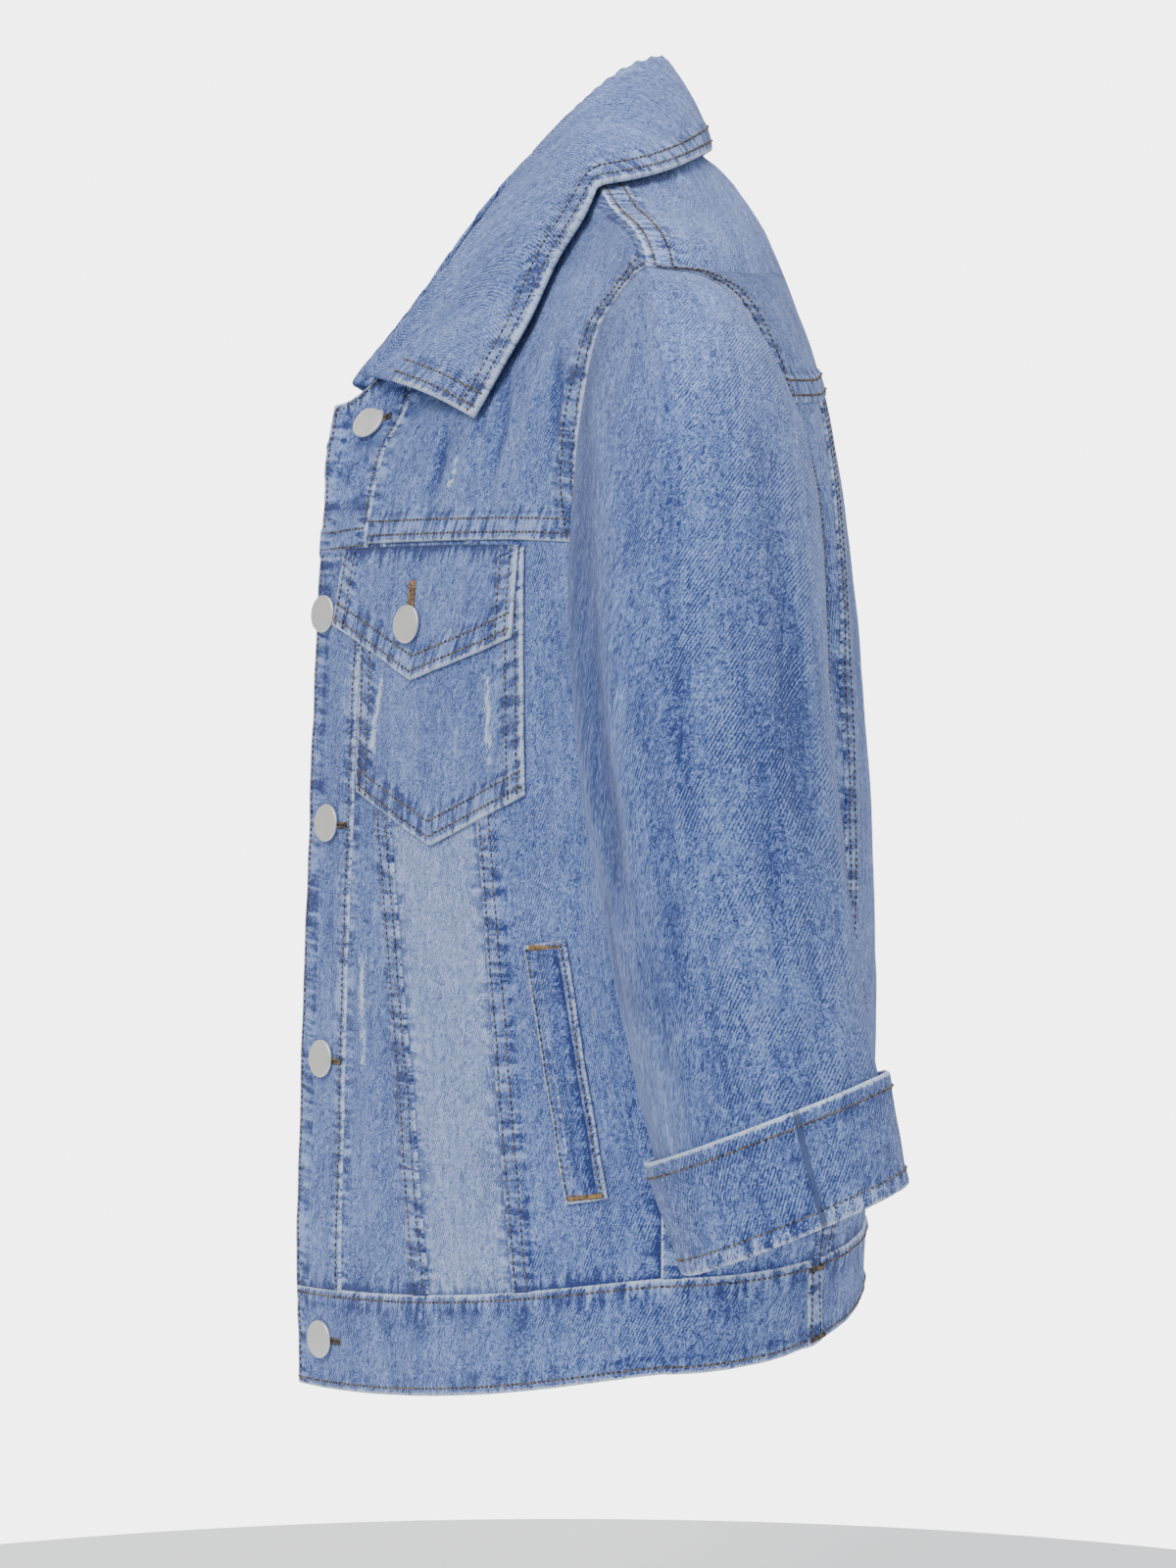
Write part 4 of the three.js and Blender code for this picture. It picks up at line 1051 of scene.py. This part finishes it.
def back_panels():
    side = seam(SIDE_SEAM, SIDE_SEAM[-1][1])
    back = seam(BACK_SEAM, BACK_SEAM[-1][1])
    corner, seam_end = ARMHOLE[BACK_YOKE], np.array(BACK_SEAM[-1])
    middle = np.array((2, 5.0))
    top = chain((arm(UNDERARM, BACK_YOKE), 8), (line(corner, seam_end), 2))
    low = line(start_of(side), start_of(back))
    # Borders beside a higher piece get a painted shadow
    flat_edge = dict(worn=0.2, pucker=0.7, painted_shadow=1.0)
    both_sides("back_side", patch(side, back, low, top), (
        Edge("left", width=9 * MM, rise=0.5 * MM), Edge("right", **flat_edge), Edge("bottom", **flat_edge),
        Edge("top", **ARM_SEWN, span=(0.0, 0.78))),
        "back", rests_on=("yoke_back",))
    far_middle = opposite(lambda t: line(seam_end, middle)(1 - t))
    seam_top = chain((line(seam_end, middle), 4), (far_middle, 4))
    hem = line(start_of(back), start_of(opposite(back)))
    build(Piece("back_centre", patch(back, opposite(back), hem, seam_top), edges=(
        Edge("left", **FELLED), Edge("right", **FELLED),
        Edge("bottom", **flat_edge), Edge("top", **flat_edge)), rests_on=("yoke_back",)), "back_left")

    shoulder = line((1.0, ARMHOLE[SHOULDER][1]), (1.0, NECK))
    left_edge = chain((arm(BACK_YOKE, len(ARMHOLE)), 8), (shoulder, 3))
    far_corner = opposite(lambda t: line(corner, seam_end)(1 - t))
    yoke_seam = chain(
        (line(corner, seam_end), 2), (line(seam_end, middle), 4), (far_middle, 4), (far_corner, 2))
    lapped = dict(width=13 * MM, rise=0.9 * MM, rows=(2.6 * MM, 10 * MM))
    yoke = patch(left_edge, opposite(left_edge), yoke_seam, line((1, NECK), (3, NECK)))
    build(Piece("yoke_back", yoke, rests_on=("collar",), edges=(
        Edge("left", **lapped), Edge("right", **lapped), Edge("bottom", **FELLED))), "back_left")

    arm_edge = chain((lambda t: armhole_at(FRONT_YOKE - FRONT_YOKE * np.asarray(t)), 10), (shoulder, 3))
    placket = strip_edge(PLACKET_WIDTH, front_yoke_row(0.1), NECK)
    low_left, low_right = start_of(placket)[0], ARMHOLE[FRONT_YOKE][0]
    lower = line((low_left, front_yoke_row(low_left)), (low_right, front_yoke_row(low_right)))
    neck = line(end_of(placket), (1, NECK))
    both_sides("yoke_front", patch(placket, arm_edge, lower, neck), (
        Edge("left", worn=0.2), Edge("bottom", width=11.5 * MM, rise=0.5 * MM, rows=(3.2 * MM, 9.6 * MM)),
        Edge("right", **ARM_SEWN, span=(0.0, 0.77))),
        "front", out=yoke_lap, rests_on=("yoke_back",),
        paint=streaks_of(((0.30, 5.62), (0.285, 5.25), 0.007)))


def lap_height(above):
    """Right front: it steps down where it goes under the left one."""

    def height(s, row):
        x = front_scale(row) * np.sin(((s + 2) % 4 - 2) * np.pi / 2)
        under = np.clip((x - LAP_STEP[0]) / (LAP_STEP[1] - LAP_STEP[0]), 0, 1)
        return above + (-LAP_DEPTH - above) * under

    return height


def lap_run(distance, low, high):
    run = strip_edge(distance, low, high)
    return lambda t: run(t) + np.array([4, 0])


def strip_seam(s, row, gap):
    """The front yoke's seam goes on across the button strip as a raised band."""
    return 0.7 * MM * step((row - YOKE_ON_STRIP[0]) / 0.02) * step((YOKE_ON_STRIP[1] - row) / 0.03)


def strip_paint(s, row, gap):
    """Worn along the lower edge of that band, a painted shadow below it, and painted shade in dark patches
    above it.
    """
    worn = 0.9 * nearly(row, YOKE_ON_STRIP[0], 0.022)
    patches = np.clip(rumple(gap["left"] / (9 * MM), row * 9, 41) * 0.8, 0, 1)
    patches = patches * step((row - YOKE_ON_STRIP[1]) / 0.1)
    return worn, np.maximum(1.2 * nearly(row, YOKE_ON_STRIP[0] - 0.045, 0.022), patches)


def plackets():
    row = dict(width=10 * MM, rise=0.25 * MM)
    left = between(strip_edge(FRONT_EDGE, BAND_TOP, NECK), strip_edge(PLACKET_WIDTH, BAND_TOP, NECK))
    # The strip's bottom border gets a painted shadow beside it
    build(Piece("placket_left", left, out=PLACKET_RISE, thick=PLACKET_THICK, rests_on=("yoke_front_left",),
                relief=strip_seam, paint=strip_paint, cell=0.7 * CELL, edges=(
        Edge("left", rows=(2.8 * MM,), **row), Edge("right", rows=(2.4 * MM,), width=5 * MM, worn=0.8),
        Edge("top", rows=(2.6 * MM,), worn=1.0), Edge("bottom", worn=0.1, painted_shadow=1.25))), "front_left")
    x = np.linspace(2 * MM, PLACKET_WIDTH - 1 * MM, 40)
    for yoke_row in YOKE_ROWS:
        rows = np.full(x.shape, yoke_row)
        s = across_front(x, rows)
        add_row("front_left", body_point(s, rows, PLACKET_RISE + 0.9 * MM), body_normal(s, rows))
    right = between(lap_run(-PLACKET_WIDTH, BAND_TOP, NECK), lap_run(UNDERLAP, BAND_TOP, NECK))
    build(Piece("placket_right", right, out=lap_height(PLACKET_RISE), thick=DOUBLE,
                rests_on=("yoke_front_right",), edges=(
        Edge("left", rows=(2.4 * MM,), width=5 * MM, worn=0.8), Edge("right", rows=(2.8 * MM,), **row),
        Edge("top", rows=(2.6 * MM,)))), "front_right")


def blotches(s, row, gap):
    """Dark patches below the upper stitching of the waistband."""
    patches = np.clip(rumple(gap["left"] / (9 * MM), gap["bottom"] / (30 * MM), 21) * 0.7, 0, 1)
    return np.zeros(s.shape), patches * nearly(gap["top"], 11 * MM, 7 * MM)


def band_line(s):
    return line((s, 0), (s, BAND_TOP))


def waistband():
    sewn = (Edge("top", rows=(2.6 * MM,), width=6 * MM, rise=0.3 * MM, worn=0.9, pucker=1.0),
            Edge("bottom", rows=(2.6 * MM,), width=5 * MM, rise=0.2 * MM, worn=0.9, pucker=0.4))
    front_end = strip_edge(FRONT_EDGE, 0.0, BAND_TOP)
    left = between(front_end, band_line(BAND_SEAM[0]))
    shape = dict(out=BAND_RISE, thick=DOUBLE, paint=blotches)
    build(Piece("waistband_left", left, edges=sewn + (Edge("left", rows=(2.8 * MM,), width=5 * MM),),
                rests_on=("side_panel_left",), **shape), "band_left")
    far_end = lap_run(UNDERLAP, 0.0, BAND_TOP)
    right = between(band_line(4 - BAND_SEAM[0]), far_end)
    shape["out"] = lap_height(BAND_RISE)
    build(Piece("waistband_right", right, edges=sewn + (Edge("right", rows=(2.8 * MM,), width=5 * MM),),
                rests_on=("side_panel_right",), **shape), "band_right")
    shape["out"] = BAND_RISE
    back = between(band_line(BAND_SEAM[1]), band_line(4 - BAND_SEAM[1]))
    build(Piece("waistband_back", back, edges=sewn, rests_on=("back_centre",), **shape), "band_left")
    strip = between(band_line(BAND_SEAM[0]), band_line(BAND_SEAM[1]))
    tight = dict(rows=(1.9 * MM,), worn=0.9, pucker=0.8)
    both_sides("band_seam", strip, (
        Edge("left", **tight), Edge("right", **tight), Edge("top", worn=0.5), Edge("bottom", worn=0.6)),
        "band", out=BAND_RISE + 0.5 * MM, thick=DOUBLE + 0.4 * MM, rests_on=("waistband_back",))


def pointed(shape):
    """Patch of a pocket or flap: two sides, a straight top and a bottom that comes to a tip."""
    left, right, tip = line(*shape["left"]), line(*shape["right"]), shape["tip"]
    bottom = chain((line(shape["left"][0], tip), 1), (line(tip, shape["right"][0]), 1))
    return patch(left, right, bottom, line(shape["left"][1], shape["right"][1]))


def in_welt(gap):
    """Share of the way across a welt, and a weight that is one inside its frame's two ends."""
    across = gap["left"] / (gap["left"] + gap["right"])
    low, high = (step((gap[end] - 5 * MM) / (1.5 * MM)) for end in ("bottom", "top"))
    return across, low * high


def welt_relief(s, row, gap):
    """A narrow folded strip stands inside the welt's frame, with a deep slit along its outer side."""
    across, inside = in_welt(gap)
    strip = step((across - 0.27) / 0.05) * step((0.70 - across) / 0.04)
    slit = nearly(across, 0.77, 0.05)
    return inside * (0.6 * MM * strip - 1.1 * MM * slit)


def welt_paint(s, row, gap):
    """Both folds of that strip are worn, its middle is darker and the slit is darkest, as a painted shadow in
    it.
    """
    across, inside = in_welt(gap)
    worn = 0.75 * (nearly(across, 0.265, 0.02) + nearly(across, 0.69, 0.022))
    strip = step((across - 0.3) / 0.05) * step((0.68 - across) / 0.05)
    return inside * worn, inside * (1.6 * nearly(across, 0.77, 0.045) + 0.35 * strip)


def pockets():
    """Chest pockets, their flaps over them, and the slanted welts."""
    sides = dict(width=12 * MM, rise=0.5 * MM, rows=(3.6 * MM, 10.3 * MM), fringe=1.8 * MM)
    pocket_paint = streaks_of(((0.165, 4.2), (0.15, 3.75), 0.008), ((0.41, 4.25), (0.425, 3.72), 0.008))
    pointed_edges = tuple(Edge(side, **sides) for side in ("left", "right", "bottom"))
    both_sides("pocket", pointed(POCKET), pointed_edges, "pocket", out=ON_PANEL,
               rests_on=("middle_panel_left",), paint=pocket_paint, cell=0.85 * CELL)
    # The flap's top border gets a painted shadow beside it
    flap_edges = pointed_edges + (Edge("top", worn=0.0, width=4 * MM, painted_shadow=1.3),)
    both_sides("flap", pointed(FLAP), flap_edges, "pocket", out=ON_POCKET,
               rests_on=("pocket_left",), cell=0.85 * CELL)
    frame_edge = dict(rows=(1.7 * MM,), width=4.5 * MM, rise=0.25 * MM, worn=0.8, pucker=0.5)
    welt = between(line(*WELT["left"]), line(*WELT["right"]))
    frame_edges = tuple(Edge(side, **frame_edge) for side in ("left", "right", "bottom", "top"))
    both_sides("welt", welt, frame_edges, "pocket", out=ON_PANEL, rests_on=("side_panel_left",),
               paint=welt_paint, relief=welt_relief, cell=0.45 * CELL)


def sleeves():
    def tube(start, stop, low, high):
        return lambda u, v: np.broadcast_arrays(start + (stop - start) * u, low + (high - low) * v)

    def cuff_height(turn, down):
        return LAY + DOUBLE + CUFF_FLARE * (CUFF[1] - down) ** 2

    def cuff_paint(turn, down, gap):
        patches = np.clip(rumple(turn * 5, down * 5, 31) * 0.9 - 0.1, 0, 1)
        spots = 0.8 * patches * nearly(gap["top"], 15 * MM, 7 * MM)
        return 0.45 * (1 - step((gap["top"] - 5 * MM) / (2 * MM))), np.maximum(spots, 0.22)

    def sleeve_paint(turn, down, gap):
        """Painted shade: the sunken fold in front, beside the armhole, is darker."""
        along = nearly(turn, 3.0 + 0.5 * down, 0.75) * step(down / 0.06) * (1 - step((down - 0.55) / 0.7))
        beside = np.clip(1.3 - ((turn - 3.6) / 2.2) ** 2, 0, 1) * nearly(down, 0.08, 0.13)
        return np.zeros(turn.shape), 0.8 * np.maximum(along, beside)

    def tucked(turn, down):
        """The sleeve's end lies under the edge of the armhole."""
        return -1.3 * MM * (1 - step((down - TUCK) / 0.035))

    whole_turn = len(ARMHOLE)
    upper = tube(ELBOW_SEAM - whole_turn, UNDER_SEAM, TUCK, SLEEVE_END)
    under = tube(UNDER_SEAM, ELBOW_SEAM, TUCK, SLEEVE_END)
    under_cuff = Edge("bottom", worn=0.0, pucker=0.7, width=2 * MM)
    elbow = Edge("left", width=10 * MM, rise=0.6 * MM, rows=(2.2 * MM, 8 * MM), worn=0.7, pucker=0.6,
                 span=(0.03, 1.0))
    inner_seam = Edge("left", width=8 * MM, rise=0.4 * MM, worn=0.5, pucker=0.5)
    cuff_edges = (Edge("bottom", width=7 * MM, rise=0.3 * MM, rows=(5.6 * MM,), worn=1.0, pucker=0.25),
                  Edge("top", width=5.5 * MM, rise=0.35 * MM, rows=(6 * MM,), worn=0.8, pucker=0.7))
    shape = dict(point=sleeve_point, out=tucked, paint=sleeve_paint)
    for side, mirror in (("left", False), ("right", True)):
        region = f"sleeve_{side}"
        build(Piece(f"sleeve_upper_{side}", upper, edges=(elbow, under_cuff),
                    rests_on=(f"yoke_front_{side}",), **shape), region, mirror)
        build(Piece(f"sleeve_under_{side}", under, edges=(inner_seam, under_cuff),
                    rests_on=(f"side_panel_{side}",), **shape), region, mirror)
        build(Piece(f"cuff_{side}", tube(0.0, whole_turn, *CUFF), point=sleeve_point, held="folded",
                    edges=cuff_edges, out=cuff_height, thick=DOUBLE, loop=True, paint=cuff_paint,
                    rests_on=(f"sleeve_upper_{side}",)), region, mirror)


def collar():
    def place(u, v):
        return np.broadcast_arrays(2 - 2 * u, v)

    def pale_fold_and_stand_shade(w, t, gap):
        # The whole collar a little paler and its fold line paler still; the stand under the fold darker as
        # painted shade
        return 0.2 + 0.2 * nearly(t, 0.36, 0.03), 0.3 * step((0.3 - t) / 0.1)

    edge = dict(width=13 * MM, rise=0.5 * MM, rows=(4.6 * MM, 11.4 * MM), pucker=0.9, fringe=2.6 * MM)
    below_fold = (0.35, 1.0)
    build(Piece("collar", place, point=collar_point, out=DOUBLE / 2, thick=DOUBLE, held="folded", edges=(
        Edge("top", **edge), Edge("left", span=below_fold, **edge), Edge("right", span=below_fold, **edge),
        Edge("bottom", worn=0.4, pucker=0.5)), rests_on=("yoke_back",), paint=pale_fold_and_stand_shade), "collar")


front_panels()
back_panels()
plackets()
waistband()
pockets()
sleeves()
collar()

# Buttons: name, distance from the front edge in millimetres, row, height of what they sit on
BUTTONS = (
    ("button_collar", 22, 6.98, PLACKET_RISE),
    ("button_chest", 9, 4.55, PLACKET_RISE),
    ("button_middle", 20, 3.39, PLACKET_RISE),
    ("button_waist", 21.5, 2.25, PLACKET_RISE),
    ("button_band", 24, 0.55, BAND_RISE),
)
ON_FLAP = (0.236, 4.46)
BUTTON_TILT, BUTTON_LIFT, COLLAR_BUTTON_LIFT = 0.16, 0.02, 0.45  # slopes of their faces outwards and up
HOLE_ABOVE, HOLE_BESIDE = 0.125, 0.021  # middle of a hole from its button, in rows up or in s


def lathe(name, profile, origin, normal, segments=56):
    """A profile of (radius, height) turned round a normal; its first and last points lie on the axis."""
    profile = np.array(profile, float)
    angle = np.linspace(0, 2 * np.pi, segments, endpoint=False)
    side = unit(np.cross(normal, (0.0, 0.0, 1.0)))
    up = np.cross(side, normal)
    ring = side * np.cos(angle)[:, None] + up * np.sin(angle)[:, None]
    rings = profile[1:-1]
    points = origin + ring[None] * rings[:, 0, None, None] + normal * rings[:, 1, None, None]
    tips = [origin + normal * profile[0, 1], origin + normal * profile[-1, 1]]
    points = np.concatenate([points.reshape(-1, 3), tips])
    j = np.arange(segments)
    k = (j + 1) % segments
    starts = segments * np.arange(len(rings))
    quads = [np.stack([low + k, low + j, high + j, high + k], -1) for low, high in zip(starts, starts[1:])]
    first, last = (np.full(segments, len(rings) * segments + end) for end in (0, 1))
    fans = [np.stack([first, j, k], -1), np.stack([starts[-1] + k, starts[-1] + j, last], -1)]
    faces = [face for group in quads + fans for face in group.tolist()]
    mesh = bpy.data.meshes.new(name)
    mesh.from_pydata(points.tolist(), [], faces)
    mesh.polygons.foreach_set("use_smooth", np.full(len(faces), True))
    mesh.update()
    return linked(name, mesh)


def button_profile():
    """Shank, flat underside, rounded rim, shallow groove inside it and a slightly domed face."""
    r, h = BUTTON_RADIUS, BUTTON_HEIGHT
    rim = [(r + 0.45 * h * 0.5 * (math.cos(t) - 1), 0.66 * h + 0.34 * h * math.sin(t))
           for t in np.linspace(-math.pi / 2, math.pi / 2, 9)]
    face = [(k * r * 0.9, h * (1.0 - 0.05 * k * k)) for k in np.linspace(0.97, 0.0, 9)]
    shank = [(0, -0.3 * MM), (0.42 * r, -0.3 * MM), (0.44 * r, 0.32 * h)]
    groove = [(0.905 * r, 0.93 * h)]
    return shank + rim + groove + face


def cross_stitches(region, centres, sideways, normal, length):
    """Stitches side by side along a line, each across it."""
    shape = centres.shape
    thread_runs.setdefault(region, []).append((
        centres, np.broadcast_to(sideways, shape), np.broadcast_to(normal, shape),
        np.full(len(centres), length)))


def buttonhole(region, centre, along, normal, length, wide):
    """Overcast hole: close cross stitches down both sides of a slit and bars at both ends."""
    sideways = unit(np.cross(along, normal))
    run = np.linspace(-0.5, 0.5, int(length / HOLE_PITCH))[:, None] * along * length
    bar = np.linspace(-0.4, 0.4, 4)[:, None] * along * MM
    for side in (-1, 1):
        cross_stitches(region, centre + run + sideways * side * 0.55 * wide, sideways, normal, wide)
    for end in (-0.5, 0.5):
        cross_stitches(region, centre + along * end * length + bar, sideways, normal, 2.4 * wide)


def tack(region, centre, along, normal, length, wide):
    """Bar tack: close cross stitches over a short line."""
    centres = centre + np.linspace(-0.5, 0.5, int(length / TACK_PITCH))[:, None] * along * length
    cross_stitches(region, centres, unit(np.cross(along, normal)), normal, wide)


def axes_at(s, row):
    """Normal of the body, and the directions round it and up it, at one place."""
    normal = body_normal(s, row)
    up = unit(body_surface(s, row + 0.02) - body_surface(s, row - 0.02))
    around = unit(body_surface(s + 0.01, row) - body_surface(s - 0.01, row))
    return normal, around, up


def buttons():
    """Metal buttons, each with its buttonhole: upright on the flaps, level on the button strip."""
    places = [(name, float(across_front(x * MM, row)), row, out, False) for name, x, row, out in BUTTONS]
    places.append(("button_flap_left", *ON_FLAP, ON_POCKET, True))
    places.append(("button_flap_right", 4 - ON_FLAP[0], ON_FLAP[1], ON_POCKET, True))
    for name, s, row, out, upright in places:
        normal = body_normal(s, row)
        foot = body_point(s, row, out + BUTTON_SEAT)
        outward = BUTTON_TILT if s < 2 else -BUTTON_TILT
        upward = COLLAR_BUTTON_LIFT if name == "button_collar" else BUTTON_LIFT
        facing = unit(normal + np.array((outward, 0.0, upward)))
        disc = lathe(f"{name}_disc", button_profile(), foot, facing)
        disc.data.materials.append(materials["button_metal"])
        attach(disc, "root")
        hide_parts(name)
        if upright:
            hole_row = row + HOLE_ABOVE
            centre = body_point(s, hole_row, out + 0.5 * MM)
            buttonhole("tan", centre, axes_at(s, hole_row)[2], normal, *FLAP_HOLE)
        else:
            hole_s = s + HOLE_BESIDE
            centre = body_point(hole_s, row - 0.01, out + 0.35 * MM) + normal * 0.135 * MM
            buttonhole("front_left", centre, axes_at(hole_s, row)[1], normal, *STRIP_HOLE)


def tacks():
    """Bars across both ends of the welts and of the band seams, on both sides."""
    for mirror in (False, True):
        def bar(region, s, row, out, shift, length):
            s = 4 - s if mirror else s
            normal, around, up = axes_at(s, row)
            centre = body_point(s, row, out + 0.3 * MM) + up * shift
            tack(region, centre, around, normal, length, TACK_WIDTH)

        low, high = (np.array(WELT["left"]) + np.array(WELT["right"])) / 2
        bar("tan", *low, ON_PANEL, 1.6 * MM, 17 * MM)
        bar("tan", *high, ON_PANEL, -1.6 * MM, 17 * MM)
        for row in (0.07, 0.93):
            bar("front_left", sum(BAND_SEAM) / 2, row, BAND_RISE + 0.6 * MM, 0, 10 * MM)


def make_threads():
    for region, runs in thread_runs.items():
        tan = region == "tan"
        name = "buttonholes_and_tacks" if tan else f"stitching_{region}"
        threads(name, runs, materials["buttonhole" if tan else "topstitch"])


buttons()
tacks()
make_threads()


# Floor, light and camera
FLOOR_Z = -0.72
FLOOR_RADIUS = 0.62
FLOOR_SIDES = 96
VIEW_AZIMUTH = math.radians(82)  # from the front towards the wearer's left
VIEW_DISTANCE = 2.1
VIEW_HEIGHT = -0.283
VIEW_SHIFT = 0.015
LENS, SENSOR = 105, 36
LIT_PLACE = np.array((0.0, 0.0, -0.25))

# Lamps: name, place, size, power in watts
LAMPS = (
    ("key_light", (2.0, -1.6, 1.7), 1.3, 70),
    ("fill_light", (1.6, 2.6, 0.6), 2.0, 22),
    ("back_light", (-2.6, 0.6, 1.4), 1.8, 34),
    ("top_light", (0.2, 0.3, 2.4), 1.4, 34),
)


def aimed(name, data, place, direction):
    """New lamp or camera at a place, looking along a direction."""
    holder = linked(name, data)
    holder.location = Vector(place.tolist())
    holder.rotation_mode = "QUATERNION"
    holder.rotation_quaternion = Vector(direction.tolist()).to_track_quat("-Z", "Y")
    return holder


def studio_floor():
    """A pale disc below the jacket."""
    j = np.arange(FLOOR_SIDES)
    angle = 2 * np.pi * j / FLOOR_SIDES
    rim = FLOOR_RADIUS * np.stack([np.cos(angle), np.sin(angle), np.zeros(angle.shape)], -1)
    points = np.concatenate([[(0.0, 0.0, 0.0)], rim]) + np.array((0.0, 0.0, FLOOR_Z))
    faces = np.stack([np.zeros(FLOOR_SIDES, int), 1 + j, 1 + (j + 1) % FLOOR_SIDES], -1)
    floor = mesh_object("studio_floor", points, faces, smooth=False)
    f = Finish("studio_floor")
    floor.data.materials.append(f.done({"Base Color": (0.97, 0.97, 0.97, 1), "Roughness": 0.9}))


def studio_light():
    """White world, brighter where the camera sees it than where it lights the cloth, and four soft lamps."""
    world = bpy.data.worlds.new("studio")
    world.use_nodes = True
    tree = world.node_tree
    light, backdrop = tree.nodes["Background"], tree.nodes.new("ShaderNodeBackground")
    light.inputs["Color"].default_value = (0.94, 0.96, 1.0, 1)
    light.inputs["Strength"].default_value = 0.75
    backdrop.inputs["Strength"].default_value = 5.0
    backdrop.inputs["Color"].default_value = (1, 1, 1, 1)
    rays, both = tree.nodes.new("ShaderNodeLightPath"), tree.nodes.new("ShaderNodeMixShader")
    tree.links.new(rays.outputs["Is Camera Ray"], both.inputs[0])
    tree.links.new(light.outputs[0], both.inputs[1])
    tree.links.new(backdrop.outputs[0], both.inputs[2])
    tree.links.new(both.outputs[0], tree.nodes["World Output"].inputs["Surface"])
    bpy.context.scene.world = world
    for name, place, size, power in LAMPS:
        lamp = bpy.data.lights.new(name, "AREA")
        lamp.size, lamp.energy = size, power
        aimed(name, lamp, np.array(place), LIT_PLACE - np.array(place))


def camera():
    toward = np.array((math.sin(VIEW_AZIMUTH), -math.cos(VIEW_AZIMUTH), 0.0))
    right = np.array((math.cos(VIEW_AZIMUTH), math.sin(VIEW_AZIMUTH), 0.0))
    lens = bpy.data.cameras.new("camera")
    lens.lens, lens.sensor_width, lens.sensor_fit = LENS, SENSOR, "AUTO"
    lens.clip_start, lens.clip_end = 0.05, 60
    place = toward * VIEW_DISTANCE + right * VIEW_SHIFT + np.array((0, 0, VIEW_HEIGHT))
    bpy.context.scene.camera = aimed("camera", lens, place, -toward)


studio_floor()
studio_light()
camera()
